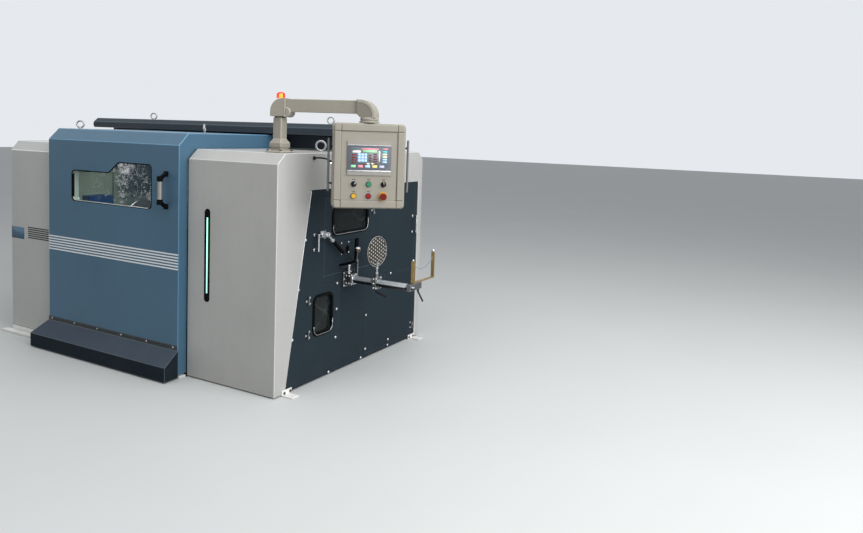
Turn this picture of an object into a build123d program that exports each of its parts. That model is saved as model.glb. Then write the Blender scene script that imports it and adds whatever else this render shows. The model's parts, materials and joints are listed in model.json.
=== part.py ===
from build123d import *
import math
import os

os.makedirs("parts", exist_ok=True)

# Overall size, in mm. X runs along the machine to the wire inlet, -Y is the front, Z is up.
LENGTH = 2710.0
DEPTH = 1752.0
HEAD_LENGTH = 753.0
TAIL_LENGTH = 565.0
BASE_THICKNESS = 8.0
BASE_INSET = 25.0
X_END = LENGTH / 2
X_TAIL = -LENGTH / 2
Y_FRONT = -DEPTH / 2
Y_BACK = DEPTH / 2
HEAD_X0 = X_END - HEAD_LENGTH
TAIL_X1 = X_TAIL + TAIL_LENGTH

# Headstock and tailstock cabinets
HEAD_FRONT_HEIGHT = 1450.0
HEAD_TOP = 1514.0
HEAD_CHAMFER_DEPTH = 70.0
TAIL_FRONT_HEIGHT = 1434.0
TAIL_TOP = 1506.0
TAIL_CHAMFER_DEPTH = 58.0

# Sliding front cover
SEAL_GAP = 15.0
RETURN_THICKNESS = 12.0
RETURN_LAP = 8.0
COVER_PROUD = 68.0
COVER_FRONT_TOP = 1534.0
COVER_TOP = 1615.0
COVER_CHAMFER_DEPTH = 80.0
COVER_BOTTOM = 22.0
COVER_CLEARANCE = 8.0
COVER_X0 = TAIL_X1 + SEAL_GAP
COVER_X1 = HEAD_X0 - SEAL_GAP
COVER_Y_FRONT = Y_FRONT - COVER_PROUD
COVER_Y_INNER = Y_FRONT - COVER_CLEARANCE
COVER_Z_INNER = HEAD_TOP + 10.0
COVER_Y_REAR = 64.0

# Window of the front cover: the outline steps up toward the headstock
WINDOW_X0 = -506.0
WINDOW_X1 = 330.0
WINDOW_STEP_X0 = -104.0
WINDOW_STEP_X1 = -2.0
WINDOW_Z0 = 1101.0
WINDOW_Z_LOW = 1322.0
WINDOW_Z_HIGH = 1398.0
WINDOW_RADIUS = 30.0
GLASS_THICKNESS = 6.0
GLASS_SETBACK = 4.0

# Cover handle
HANDLE_X = 475.0
HANDLE_Z0 = 1132.0
HANDLE_Z1 = 1347.0
HANDLE_REACH = 70.0
HANDLE_GRIP_RADIUS = 15.0
HANDLE_PAD = 34.0
HANDLE_PAD_THICKNESS = 12.0
HANDLE_ARM_RADIUS = 13.0
HANDLE_SOCKET_HALF = 17.0
HANDLE_SOCKET_WALL = 4.0
HANDLE_INSET = 32.0

# Kick box along the foot of the cover
KICK_X0 = -824.0
KICK_X1 = 602.0
KICK_REAR_X0 = -777.0
KICK_REAR_X1 = 594.0
KICK_DEPTH = 118.0
KICK_BOTTOM = 8.0
KICK_FRONT_HEIGHT = 106.0
KICK_BACK_HEIGHT = 191.0
KICK_FLANGE_TOP = 219.0
KICK_FLANGE_THICKNESS = 4.0
KICK_FLANGE_LAP = 20.0

# Floor rail under the cover
RAIL_X0 = -1400.0
RAIL_X1 = 598.0
RAIL_WIDTH = 54.0
RAIL_HEIGHT = 14.0
RAIL_TIES_X = (-1150.0, -100.0, 480.0)
RAIL_TIE_WIDTH = 120.0
RUNNER_LENGTH = 160.0
RUNNER_INSET = 90.0
RUNNER_SIDE = 12.0

# Rear housing and canopy
HOUSING_Y = 74.0
HOUSING_UPPER_Y1 = 700.0
HOUSING_LIP = 40.0
CANOPY_Y0 = -122.0
CANOPY_Y1 = 720.0
CANOPY_X1 = 1225.0
CANOPY_BOTTOM = 1626.0
CANOPY_TOP = 1707.0
CANOPY_CHAMFER = 31.0
CANOPY_NOSE_X = X_TAIL - 55.0
CANOPY_NOSE_Z = 1650.0
CANOPY_NOSE_RISE = 20.0
CANOPY_NOSE_UNDERCUT = 14.0

# End panel in the inlet end of the headstock
PANEL_RECESS = 6.0
PANEL_THICKNESS = 20.0
PANEL_GAP = 3.0
PANEL_TOP = 1273.0
PANEL_Y0_BOTTOM = Y_FRONT + 101.0
PANEL_Y0_TOP = Y_FRONT + 329.0
PANEL_Y1 = Y_FRONT + 1694.0
PANEL_X = X_END - PANEL_RECESS
POCKET_DEPTH = 80.0

# Windows and doors of the end panel: left edge, width, bottom edge and height
UPPER_WINDOW_LEFT = Y_FRONT + 556.0
UPPER_WINDOW_WIDTH = 432.0
UPPER_WINDOW_BOTTOM = 951.0
UPPER_WINDOW_HEIGHT = 199.0
LOWER_DOOR_LEFT = Y_FRONT + 322.0
LOWER_DOOR_WIDTH = 326.0
LOWER_DOOR_BOTTOM = 236.0
LOWER_DOOR_HEIGHT = 396.0
LOWER_WINDOW_INSET = 46.0
LOWER_WINDOW_WIDTH = 218.0
LOWER_WINDOW_RISE = 64.0
LOWER_WINDOW_HEIGHT = 280.0
DOORS_RIGHT = Y_FRONT + 1650.0
DOOR_SPACING = 17.0
SERVICE_DOOR_WIDTH = 658.0
SERVICE_DOOR_BOTTOM = 40.0
SERVICE_DOOR_HEIGHT = 535.0
SIDE_DOOR_WIDTH = 597.0
SIDE_DOOR_TOP = PANEL_TOP - 62.0
INLET_LEFT = Y_FRONT + 652.0
INLET_WIDTH = 230.0
INLET_BOTTOM = 728.0
INLET_HEIGHT = 180.0
INLET_PLATE_WIDTH = 177.0
INLET_PLATE_RISE = 20.0
INLET_PLATE_HEIGHT = 157.0
INLET_PLATE_FACE = 2.0
INLET_PLATE_THICKNESS = 10.0
INLET_HOLE_INSET = 72.0
INLET_HOLE_RISE = 64.0
INLET_HOLE_WIDTH = 40.0
INLET_HOLE_HEIGHT = 56.0
INLET_TAB_INSET = 14.0
INLET_TAB_HALF = 10.0
INLET_TAB_LAP = 20.0
SEAM_LEFT = Y_FRONT + 480.0
SEAM_BOTTOM = 689.0
SEAM_SIZE = 3.0
SEAL_WIDTH = 20.0
SEAL_PROUD = 10.0
SEAL_BACK = 10.0
SEAL_RADIUS = 52.0
HINGE_RADIUS = 6.0
HINGE_PIN_RADIUS = 3.5
HINGE_LENGTH = 56.0
HINGE_KNUCKLE = 18.0
HINGE_KNUCKLE_GAP = 0.5
HINGE_PROUD = 8.0
HINGE_LEAF = 26.0
HINGE_LEAF_THICKNESS = 3.5
LOWER_HINGE_INSETS = (92.0, 78.0)
SERVICE_HINGE_INSETS = (70.0, 85.0)
SIDE_HINGE_INSETS = (108.0, 119.0)

# Latch by the upper window
KEEPER_Y = Y_FRONT + 371.0
KEEPER_Z0 = 876.0
KEEPER_Z1 = 990.0
GRIP_REACH = 38.0
GRIP_BAR_RADIUS = 6.0
GRIP_POST_INSET = 8.0
GRIP_FLANGE = 6.0
LATCH_Y = Y_FRONT + 458.0
LATCH_Z = 977.0
LATCH_TIP_Y = Y_FRONT + 635.0
LATCH_TIP_Z = 836.0
LATCH_BOSS_REACH = 34.0
LATCH_BOSS_RADIUS = 17.0
LATCH_PLATE_WIDTH = 60.0
LATCH_PLATE_HEIGHT = 44.0
LATCH_PLATE_THICKNESS = 8.0
LATCH_HUB_RADIUS = 19.0
LATCH_HUB_LENGTH = 19.0
LATCH_PIN_RADIUS = 8.0
LATCH_SHANK_RADIUS = 8.0
LATCH_SHANK_SHARE = 0.35
LATCH_GRIP_RADIUS = 13.0
LATCH_LIFT = 10.0
HOOK_THICKNESS = 12.0
HOOK_HEIGHT = 18.0
HOOK_GAP = 18.0

# Grab handle of the side door
GRAB_Y = Y_FRONT + 1623.0
GRAB_Z0 = 866.0
GRAB_Z1 = 1009.0

# Wire guide
GUIDE_Y = Y_FRONT + 733.0
GUIDE_Z = 640.0
BRACKET_FOOT_THICKNESS = 12.0
BRACKET_FOOT_WIDTH = 88.0
BRACKET_FOOT_DOWN = 56.0
BRACKET_FOOT_UP = 52.0
BRACKET_REACH = 66.0
BRACKET_HALF_WIDTH = 34.0
BRACKET_HALF_HEIGHT = 40.0
TUBE_RADIUS = 25.0
TUBE_X0 = PANEL_X + 40.0
TUBE_X1 = X_END + 490.0
ROD_RADIUS = 11.0
ROD_X1 = X_END + 545.0
DISC_X = X_END + 249.0
DISC_Z = 855.0
DISC_RADIUS = 104.0
DISC_TURN = -5.0
DISC_THICKNESS = 4.0
DISC_CLAMP_HALF = (16.0, 36.0, 42.0)
DISC_SOCKET_RADIUS = 13.0
DISC_SOCKET_HEIGHT = 62.0
DISC_NECK_RADIUS = 8.0
BALL_X = X_END + 70.0
BALL_Y = Y_FRONT + 761.0
BALL_Z = 844.0
BALL_RADIUS = 20.0
LEVER_PIVOT_Z = 668.0
LEVER_PIN_RADIUS = 6.0
LEVER_THICKNESS = 8.0
LEVER_HEIGHT = 102.0
LEVER_FOOT = 26.0
LEVER_X0 = BALL_X - 30.0
LEVER_X1 = BALL_X - 8.0
LEVER_STANDOFF = 8.0
LEVER_BOSS_RADIUS = 9.0
LEVER_ROD_RADIUS = 5.0
GUARD_X = X_END + 515.0
GUARD_Y0 = Y_FRONT + 762.0
GUARD_Y1 = Y_FRONT + 1040.0
GUARD_Z = 668.0
GUARD_BAR = 25.0
GUARD_BAR_DEPTH = 5.0
GUARD_POST_THICKNESS = 7.0
GUARD_CLAMP_HALF = 15.0
GUARD_CLAMP_REACH = 130.0
GUARD_CLAMP_OVERLAP = 20.0
GUARD_CLAMP_DROP = 22.0
CLAMP_SCREW_RADIUS = 7.0
CLAMP_SCREW_LENGTH = 22.0
CLAMP_HANDLE_RADIUS = 6.0
DISC_HANDLE_REACH = 84.0
DISC_HANDLE_SLOPE = 26.0
GUARD_HANDLE_SHIFT = 108.0
GUARD_HANDLE_REACH = 40.0
GUARD_HANDLE_SLOPE = 64.0
GUARD_POST_LOW = 812.0
GUARD_POST_HIGH = 842.0

# Signal light in the front of the headstock
LIGHT_X = X_END - 580.0
LIGHT_Z0 = 528.0
LIGHT_Z1 = 1135.0
LIGHT_WIDTH = 46.0
LIGHT_DEPTH = 12.0
LIGHT_PROUD = 2.0
DIFFUSER_Z0 = 579.0
DIFFUSER_Z1 = 1086.0
DIFFUSER_WIDTH = 16.0

# Operator arm and pendant
POST_X = X_END - 126.0
POST_Y = Y_FRONT + 159.0
POST_WIDTH = 66.0
POST_DEPTH = 58.0
POST_TOP = 1738.0
POST_PLATE = 12.0
POST_PLATE_WIDTH = 130.0
POST_STANDOFF = 20.0
POST_STANDOFF_INSET = 14.0
POST_SOCKET_WIDTH = 96.0
POST_SOCKET_DEPTH = 90.0
POST_SOCKET_HEIGHT = 32.0
POST_SHOULDER = 20.0
POST_TOP_CHAMFER = 6.0
SPIGOT_RADIUS = 25.0
SPIGOT_LENGTH = 60.0
SWIVEL_GAP = 2.0
ARM_ANGLE = 16.8
ARM_LENGTH = 582.0
ARM_LIFT = 32.0
ARM_HEIGHT = 80.0
ARM_WIDTH = 60.0
ARM_BOTTOM = POST_TOP + ARM_LIFT
ARM_TOP = ARM_BOTTOM + ARM_HEIGHT
ELBOW_WIDTH = 90.0
ELBOW_BACK = 50.0
ELBOW_ROUND_SHARE = 0.73
ELBOW_ROUND_MOST = 84.0
ELBOW_LIP = 5.0
ELBOW_TOP = ARM_TOP + ELBOW_LIP
ELBOW_BELLY_RADIUS = 30.0
ELBOW_BELLY_SHIFT = 7.0
ELBOW_BELLY_DIP = 4.0
FAR_ELBOW_INNER = 66.0
FAR_ELBOW_OUTER = 47.0
FAR_ELBOW_ROUND_SHARE = 0.88
FAR_ELBOW_ROUND_MOST = 100.0
FAR_ELBOW_THROAT_SHARE = 0.3
FAR_ELBOW_LAP = 4.0
COLLAR_RADIUS = 53.0
COLLAR_HEIGHT = 34.0
BEACON_X = 2.0
BEACON_RADIUS = 27.0
BEACON_RISE = 38.0
BEACON_SINK = 24.0
PENDANT_ANGLE = 39.5
PENDANT_WIDTH = 440.0
PENDANT_HEIGHT = 516.0
PENDANT_DEPTH = 108.0
PENDANT_DROP = 25.0
PENDANT_TOP = POST_TOP - PENDANT_DROP
PENDANT_RADIUS = 24.0
PENDANT_EDGE = 10.0
PENDANT_PIN_RADIUS = 30.0
PENDANT_PIN_LENGTH = 48.0
BEZEL_WIDTH = 268.0
BEZEL_HEIGHT = 207.0
BEZEL_DROP = 107.0
BEZEL_Z1 = PENDANT_TOP - BEZEL_DROP
BEZEL_Z0 = BEZEL_Z1 - BEZEL_HEIGHT
BEZEL_THICKNESS = 7.0
BUTTON_PITCH = 90.0
BUTTON_DROP = 53.0
BUTTON_ROW_SPACING = 72.0
BUTTON_Z_HIGH = BEZEL_Z0 - BUTTON_DROP
BUTTON_Z_LOW = BUTTON_Z_HIGH - BUTTON_ROW_SPACING
BUTTON_RADIUS = 14.0
BUTTON_PROUD = 12.0
SELECTOR_BASE = 10.0
SELECTOR_PROUD = 24.0
SELECTOR_HALF_WIDTH = 4.0
SELECTOR_HALF_HEIGHT = 12.0
ESTOP_X = BUTTON_PITCH - 2.0
ESTOP_RING = 3.0
ESTOP_RING_RADIUS = 27.0
ESTOP_COLLAR_RADIUS = 13.0
ESTOP_COLLAR_LENGTH = 14.0
ESTOP_HEAD_RADIUS = 21.0
ESTOP_HEAD_LENGTH = 14.0
ESTOP_TRAVEL_GAP = 7.0
ESTOP_STEM_RADIUS = 9.0
ESTOP_STEM_LENGTH = 12.0
ESTOP_BORE_DEPTH = 24.0
SIDE_ROD_X = 242.0
SIDE_ROD_DROP = 96.0
SIDE_ROD_LENGTH = 320.0
SIDE_ROD_INSET = 49.0
SIDE_ROD_Z1 = PENDANT_TOP - SIDE_ROD_DROP
SIDE_ROD_Z0 = SIDE_ROD_Z1 - SIDE_ROD_LENGTH
SIDE_ROD_RADIUS = 7.0
SIDE_ROD_STANDOFF_RADIUS = 5.0

# Lifting eyes, each turned as it was screwed home
COVER_EYES_X = (-733.0, 572.0)
COVER_EYES_Y = -716.0
CANOPY_EYES_X = (-1138.0, 856.0)
CANOPY_EYES_Y = (CANOPY_Y0 + CANOPY_Y1) / 2
SMALL_EYE_RADIUS = 31.0
SMALL_EYE_WIRE = 6.0
HEAD_EYE_X = X_END - 145.0
HEAD_EYE_Y = -276.0
HEAD_EYE_RADIUS = 39.0
HEAD_EYE_WIRE = 7.0
EYE_COLLAR = 5.0
EYE_LIFT = 3.0
EYE_FACING = 38.0
EYE_EDGE_ON = 128.0

# Work lamp over the end panel
LAMP_Y = Y_FRONT + 344.0
LAMP_Z0 = 1472.0
LAMP_Z1 = 1494.0
LAMP_HALF_WIDTH = 10.0
LAMP_PLATE = 8.0
LAMP_REACH = 150.0
LAMP_DROOP = 20.0
LAMP_ARM_RADIUS = 7.0

# Corner feet: a floor plate and, at the inlet end, a wider upright flange on the cabinet
FOOT_OUTER_Y = Y_FRONT + 67.0
FOOT_WIDTH = 64.0
FOOT_REACH_END = 90.0
FOOT_REACH_TAIL = 45.0
FOOT_FLANGE_WIDTH = 92.0
FOOT_FLANGE_HEIGHT = 34.0

# Reel and cradle inside the chamber
REEL_X = (TAIL_X1 + HEAD_X0) / 2
REEL_Y = -405.0
REEL_Z = 800.0
REEL_FLANGE_RADIUS = 315.0
REEL_BARREL_RADIUS = 140.0
REEL_WIDTH = 475.0
REEL_FLANGE = 22.0
CHEEK_THICKNESS = 50.0
CHEEK_CLEARANCE = 14.0
CHEEK_HALF_DEPTH = 110.0
CHEEK_DROP = 150.0
CHEEK_RISE = 110.0
CHEEK_STUB_RADIUS = 60.0
PINTLE_RADIUS = 28.0
PINTLE_LENGTH = 70.0
GUARD_BLOCK_DEPTH = 90.0
GUARD_BLOCK_Y0 = Y_FRONT + 214.0
GUARD_BLOCK_Y1 = Y_FRONT + 427.0
GUARD_BLOCK_Z0 = 500.0
GUARD_BLOCK_Z1 = 1100.0
GUARD_BLOCK_RADIUS = 40.0

# Running fit around each pin and air under each runner
PIN_CLEARANCE = 0.08
RUNNER_CLEARANCE = 0.3

# How a round piece stands on its place
RISING = (Align.CENTER, Align.CENTER, Align.MIN)


def block(x0, x1, y0, y1, z0, z1):
    return Pos((x0 + x1) / 2, (y0 + y1) / 2, (z0 + z1) / 2) * Box(x1 - x0, y1 - y0, z1 - z0)


def rod(start, end, radius):
    direction = Vector(*end) - Vector(*start)
    plane = Plane(origin=start, z_dir=direction)
    return plane * Cylinder(radius, direction.length, align=RISING)


def prism_x(outline, x0, x1):
    face = Plane.YZ * make_face(Polyline(*outline, close=True))
    return Pos(x0, 0, 0) * extrude(face, amount=x1 - x0)


def plate_x(limits, x0, x1, radius=0.0, grow=0.0):
    y0, y1, z0, z1 = limits
    width = y1 - y0 + 2 * grow
    height = z1 - z0 + 2 * grow
    outline = RectangleRounded(width, height, radius) if radius > 0 else Rectangle(width, height)
    face = Plane.YZ * (Pos((y0 + y1) / 2, (z0 + z1) / 2) * outline)
    return Pos(x0, 0, 0) * extrude(face, amount=x1 - x0)


def opening(left, width, bottom, height):
    return left, left + width, bottom, bottom + height


def save(solid, name):
    solid.label = name
    export_step(solid, "parts/" + name + ".step")


def chamfered_cabinet(x0, x1, front_height, top, chamfer_depth):
    outline = [
        (Y_FRONT, BASE_THICKNESS),
        (Y_FRONT, front_height),
        (Y_FRONT + chamfer_depth, top),
        (Y_BACK - chamfer_depth, top),
        (Y_BACK, front_height),
        (Y_BACK, BASE_THICKNESS),
    ]
    return prism_x(outline, x0, x1)


UPPER_WINDOW = opening(UPPER_WINDOW_LEFT, UPPER_WINDOW_WIDTH, UPPER_WINDOW_BOTTOM, UPPER_WINDOW_HEIGHT)
LOWER_DOOR = opening(LOWER_DOOR_LEFT, LOWER_DOOR_WIDTH, LOWER_DOOR_BOTTOM, LOWER_DOOR_HEIGHT)
LOWER_WINDOW = opening(LOWER_DOOR_LEFT + LOWER_WINDOW_INSET, LOWER_WINDOW_WIDTH,
                       LOWER_DOOR_BOTTOM + LOWER_WINDOW_RISE, LOWER_WINDOW_HEIGHT)
SERVICE_DOOR = opening(DOORS_RIGHT - SERVICE_DOOR_WIDTH, SERVICE_DOOR_WIDTH, SERVICE_DOOR_BOTTOM,
                       SERVICE_DOOR_HEIGHT)
SIDE_DOOR_BOTTOM = SERVICE_DOOR_BOTTOM + SERVICE_DOOR_HEIGHT + DOOR_SPACING
SIDE_DOOR = opening(DOORS_RIGHT - SIDE_DOOR_WIDTH, SIDE_DOOR_WIDTH, SIDE_DOOR_BOTTOM,
                    SIDE_DOOR_TOP - SIDE_DOOR_BOTTOM)
INLET = opening(INLET_LEFT, INLET_WIDTH, INLET_BOTTOM, INLET_HEIGHT)
INLET_PLATE = opening(INLET_LEFT + PANEL_GAP, INLET_PLATE_WIDTH, INLET_BOTTOM + INLET_PLATE_RISE,
                      INLET_PLATE_HEIGHT)

# Base plate and floor rail
base = block(X_TAIL + BASE_INSET, X_END - BASE_INSET, Y_FRONT + BASE_INSET, Y_BACK - BASE_INSET,
             0, BASE_THICKNESS)
for x in RAIL_TIES_X:
    base += block(x, x + RAIL_TIE_WIDTH, COVER_Y_INNER, Y_FRONT + BASE_INSET + 1, 0, BASE_THICKNESS)
save(base, "base_frame")
rail = block(RAIL_X0, RAIL_X1, COVER_Y_INNER - RAIL_WIDTH, COVER_Y_INNER, 0, RAIL_HEIGHT)
save(rail, "floor_rail")

# Headstock cabinet with the pockets of the end panel and of the signal light
panel_outline = [
    (PANEL_Y0_BOTTOM, BASE_THICKNESS),
    (PANEL_Y0_TOP, PANEL_TOP),
    (PANEL_Y1, PANEL_TOP),
    (PANEL_Y1, BASE_THICKNESS),
]
pocket_outline = [
    (PANEL_Y0_BOTTOM - PANEL_GAP, 0),
    (PANEL_Y0_TOP - PANEL_GAP, PANEL_TOP + PANEL_GAP),
    (PANEL_Y1 + PANEL_GAP, PANEL_TOP + PANEL_GAP),
    (PANEL_Y1 + PANEL_GAP, 0),
]
panel_back = PANEL_X - PANEL_THICKNESS
headstock = chamfered_cabinet(HEAD_X0, X_END, HEAD_FRONT_HEIGHT, HEAD_TOP, HEAD_CHAMFER_DEPTH)
headstock -= prism_x(pocket_outline, panel_back, X_END + 10)
for limits in (LOWER_DOOR, SERVICE_DOOR, SIDE_DOOR, UPPER_WINDOW, INLET):
    headstock -= plate_x(limits, panel_back - POCKET_DEPTH, panel_back)


def light_slot(y0, y1, z0, z1, width):
    face = Plane.XZ * (Pos(LIGHT_X, (z0 + z1) / 2) * RectangleRounded(width, z1 - z0, width / 2 - 0.1))
    return Pos(0, y1, 0) * extrude(face, amount=y1 - y0)


headstock -= light_slot(Y_FRONT - 10, Y_FRONT + LIGHT_DEPTH, LIGHT_Z0, LIGHT_Z1, LIGHT_WIDTH)
save(headstock, "headstock_cabinet")

# Signal light
light = light_slot(Y_FRONT - LIGHT_PROUD, Y_FRONT + LIGHT_DEPTH, LIGHT_Z0, LIGHT_Z1, LIGHT_WIDTH)
light -= light_slot(Y_FRONT - LIGHT_PROUD - 1, Y_FRONT + 1, DIFFUSER_Z0, DIFFUSER_Z1, DIFFUSER_WIDTH)
save(light, "signal_light")

# End panel with the openings of its doors, window and wire inlet
panel = prism_x(panel_outline, panel_back, PANEL_X)
for limits in (LOWER_DOOR, SERVICE_DOOR, SIDE_DOOR):
    panel -= plate_x(limits, panel_back - 1, PANEL_X + 1, grow=PANEL_GAP)
panel -= plate_x(UPPER_WINDOW, panel_back - 1, PANEL_X + 1, SEAL_RADIUS, grow=-SEAL_WIDTH / 2)
panel -= plate_x(INLET, panel_back - 1, PANEL_X + 1)
seam_limits = (SEAM_LEFT, SIDE_DOOR[0], SEAM_BOTTOM, SIDE_DOOR[3] + PANEL_GAP)
seam = plate_x(seam_limits, PANEL_X - SEAM_SIZE, PANEL_X + 1)
seam -= plate_x(seam_limits, PANEL_X - SEAM_SIZE - 1, PANEL_X + 2, grow=-SEAM_SIZE)
save(panel - seam, "end_panel")


def window_seal(limits, face_x):
    ring = plate_x(limits, face_x, face_x + SEAL_PROUD, SEAL_RADIUS)
    return ring - plate_x(limits, face_x - 1, face_x + SEAL_PROUD + 1, SEAL_RADIUS - SEAL_WIDTH, -SEAL_WIDTH)


def window_glass(limits, face_x):
    back = face_x - SEAL_BACK
    return plate_x(limits, back - GLASS_THICKNESS, back, SEAL_RADIUS, -SEAL_WIDTH / 2)


save(window_seal(UPPER_WINDOW, PANEL_X), "upper_window_seal")
save(window_glass(UPPER_WINDOW, PANEL_X), "upper_window_glass")

# Hinges: a centre knuckle and its pin on the panel, two knuckles and their leaf on the door
hinge_x = PANEL_X + HINGE_PROUD


def knuckle(y, z0, z1, side):
    body = rod((hinge_x, y, z0), (hinge_x, y, z1), HINGE_RADIUS)
    y0, y1 = sorted((y, y + side * HINGE_LEAF))
    return body + block(PANEL_X, PANEL_X + HINGE_LEAF_THICKNESS, y0, y1, z0, z1)


def fixed_hinge(y, z, door_side):
    half = HINGE_LENGTH / 2
    pin = rod((hinge_x, y, z - half), (hinge_x, y, z + half), HINGE_PIN_RADIUS)
    return knuckle(y, z - HINGE_KNUCKLE / 2, z + HINGE_KNUCKLE / 2, -door_side) + pin


def door_hinge(y, z, door_side):
    near = HINGE_KNUCKLE / 2 + HINGE_KNUCKLE_GAP
    half = HINGE_LENGTH / 2
    leaves = knuckle(y, z - half, z - near, door_side) + knuckle(y, z + near, z + half, door_side)
    return leaves - rod((hinge_x, y, z - half), (hinge_x, y, z + half), HINGE_PIN_RADIUS + PIN_CLEARANCE)


def hinge_heights(limits, insets):
    return limits[2] + insets[0], limits[3] - insets[1]


LOWER_HINGE_Y = LOWER_DOOR[0] - PANEL_GAP / 2
SERVICE_HINGE_Y = SERVICE_DOOR[1] + PANEL_GAP / 2
SIDE_HINGE_Y = SIDE_DOOR[0] - PANEL_GAP / 2
LOWER_HINGE_Z = hinge_heights(LOWER_DOOR, LOWER_HINGE_INSETS)
SERVICE_HINGE_Z = hinge_heights(SERVICE_DOOR, SERVICE_HINGE_INSETS)
SIDE_HINGE_Z = hinge_heights(SIDE_DOOR, SIDE_HINGE_INSETS)
hinges = [fixed_hinge(LOWER_HINGE_Y, z, 1) for z in LOWER_HINGE_Z]
hinges += [fixed_hinge(SERVICE_HINGE_Y, z, -1) for z in SERVICE_HINGE_Z]
hinges += [fixed_hinge(SIDE_HINGE_Y, z, 1) for z in SIDE_HINGE_Z]
save(Compound(hinges), "door_hinges")

# Lower window door
lower_door = plate_x(LOWER_DOOR, panel_back, PANEL_X)
lower_door -= plate_x(LOWER_WINDOW, panel_back - 1, PANEL_X + 1, SEAL_RADIUS, grow=-SEAL_WIDTH / 2)
for z in LOWER_HINGE_Z:
    lower_door += door_hinge(LOWER_HINGE_Y, z, 1)
save(lower_door, "lower_door")
save(window_seal(LOWER_WINDOW, PANEL_X), "lower_window_seal")
save(window_glass(LOWER_WINDOW, PANEL_X), "lower_window_glass")

# Service door and side door
service_door = plate_x(SERVICE_DOOR, panel_back, PANEL_X)
for z in SERVICE_HINGE_Z:
    service_door += door_hinge(SERVICE_HINGE_Y, z, -1)
save(service_door, "service_door")
side_door = plate_x(SIDE_DOOR, panel_back, PANEL_X)
for z in SIDE_HINGE_Z:
    side_door += door_hinge(SIDE_HINGE_Y, z, 1)
save(side_door, "side_door")


def grip_bar(x, y, z0, z1):
    bar = rod((x + GRIP_REACH, y, z0), (x + GRIP_REACH, y, z1), GRIP_BAR_RADIUS)
    for z in (z0 + GRIP_POST_INSET, z1 - GRIP_POST_INSET):
        bar += rod((x, y, z), (x + GRIP_REACH, y, z), GRIP_BAR_RADIUS)
        bar += rod((x, y, z), (x + GRIP_FLANGE, y, z), GRIP_BAR_RADIUS + GRIP_FLANGE)
    return bar


save(grip_bar(PANEL_X, GRAB_Y, GRAB_Z0, GRAB_Z1), "side_door_handle")

# Latch lever: a boss on the panel carries an arm that ends in a hand grip
latch_boss_x = PANEL_X + LATCH_BOSS_REACH
hub_end = latch_boss_x + 1 + LATCH_HUB_LENGTH
boss = rod((PANEL_X, LATCH_Y, LATCH_Z), (latch_boss_x, LATCH_Y, LATCH_Z), LATCH_BOSS_RADIUS)
boss += rod((PANEL_X, LATCH_Y, LATCH_Z), (hub_end - 1, LATCH_Y, LATCH_Z), LATCH_PIN_RADIUS)
boss += block(PANEL_X, PANEL_X + LATCH_PLATE_THICKNESS,
              LATCH_Y - LATCH_PLATE_WIDTH / 2, LATCH_Y + LATCH_PLATE_WIDTH / 2,
              LATCH_Z - LATCH_PLATE_HEIGHT / 2, LATCH_Z + LATCH_PLATE_HEIGHT / 2)
save(Compound([grip_bar(PANEL_X, KEEPER_Y, KEEPER_Z0, KEEPER_Z1), boss]), "latch_keeper")
lever_x = latch_boss_x + LATCH_LIFT
dy = LATCH_TIP_Y - LATCH_Y
dz = LATCH_TIP_Z - LATCH_Z
hub = rod((latch_boss_x + 1, LATCH_Y, LATCH_Z), (hub_end, LATCH_Y, LATCH_Z), LATCH_HUB_RADIUS)
shank_end = (lever_x, LATCH_Y + LATCH_SHANK_SHARE * dy, LATCH_Z + LATCH_SHANK_SHARE * dz)
shank = rod((lever_x, LATCH_Y, LATCH_Z), shank_end, LATCH_SHANK_RADIUS)
hook = block(lever_x - HOOK_THICKNESS / 2, lever_x + HOOK_THICKNESS / 2, KEEPER_Y + HOOK_GAP, LATCH_Y,
             LATCH_Z - HOOK_HEIGHT / 2, LATCH_Z + HOOK_HEIGHT / 2)
grip = rod(shank_end, (lever_x, LATCH_TIP_Y, LATCH_TIP_Z), LATCH_GRIP_RADIUS)
latch = hub + shank + hook + grip
latch -= rod((latch_boss_x, LATCH_Y, LATCH_Z), (hub_end + 1, LATCH_Y, LATCH_Z),
             LATCH_PIN_RADIUS + PIN_CLEARANCE)
save(latch, "latch_lever")

# Inlet plate in front of the wire inlet
plate_front = PANEL_X - INLET_PLATE_FACE
inlet_plate = plate_x(INLET_PLATE, plate_front - INLET_PLATE_THICKNESS, plate_front)
hole = opening(INLET_PLATE[0] + INLET_HOLE_INSET, INLET_HOLE_WIDTH,
               INLET_PLATE[2] + INLET_HOLE_RISE, INLET_HOLE_HEIGHT)
inlet_plate -= plate_x(hole, panel_back, PANEL_X, INLET_HOLE_WIDTH / 2 - 1)
for z in (INLET_PLATE[2] + INLET_TAB_INSET, INLET_PLATE[3] - INLET_TAB_INSET):
    inlet_plate += block(panel_back, plate_front - INLET_PLATE_THICKNESS / 2,
                         INLET[0], INLET_PLATE[0] + INLET_TAB_LAP, z - INLET_TAB_HALF, z + INLET_TAB_HALF)
save(inlet_plate, "inlet_plate")

# Bracket that carries the wire guide, below the inlet
bracket = block(PANEL_X, PANEL_X + BRACKET_FOOT_THICKNESS,
                GUIDE_Y - BRACKET_FOOT_WIDTH / 2, GUIDE_Y + BRACKET_FOOT_WIDTH / 2,
                GUIDE_Z - BRACKET_FOOT_DOWN, GUIDE_Z + BRACKET_FOOT_UP)
bracket += block(PANEL_X, PANEL_X + BRACKET_REACH, GUIDE_Y - BRACKET_HALF_WIDTH, GUIDE_Y + BRACKET_HALF_WIDTH,
                 GUIDE_Z - BRACKET_HALF_HEIGHT, GUIDE_Z + BRACKET_HALF_HEIGHT)
bracket -= rod((TUBE_X0 - 0.01, GUIDE_Y, GUIDE_Z), (TUBE_X1, GUIDE_Y, GUIDE_Z), TUBE_RADIUS)
tube = rod((TUBE_X0, GUIDE_Y, GUIDE_Z), (TUBE_X1, GUIDE_Y, GUIDE_Z), TUBE_RADIUS)
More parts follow.
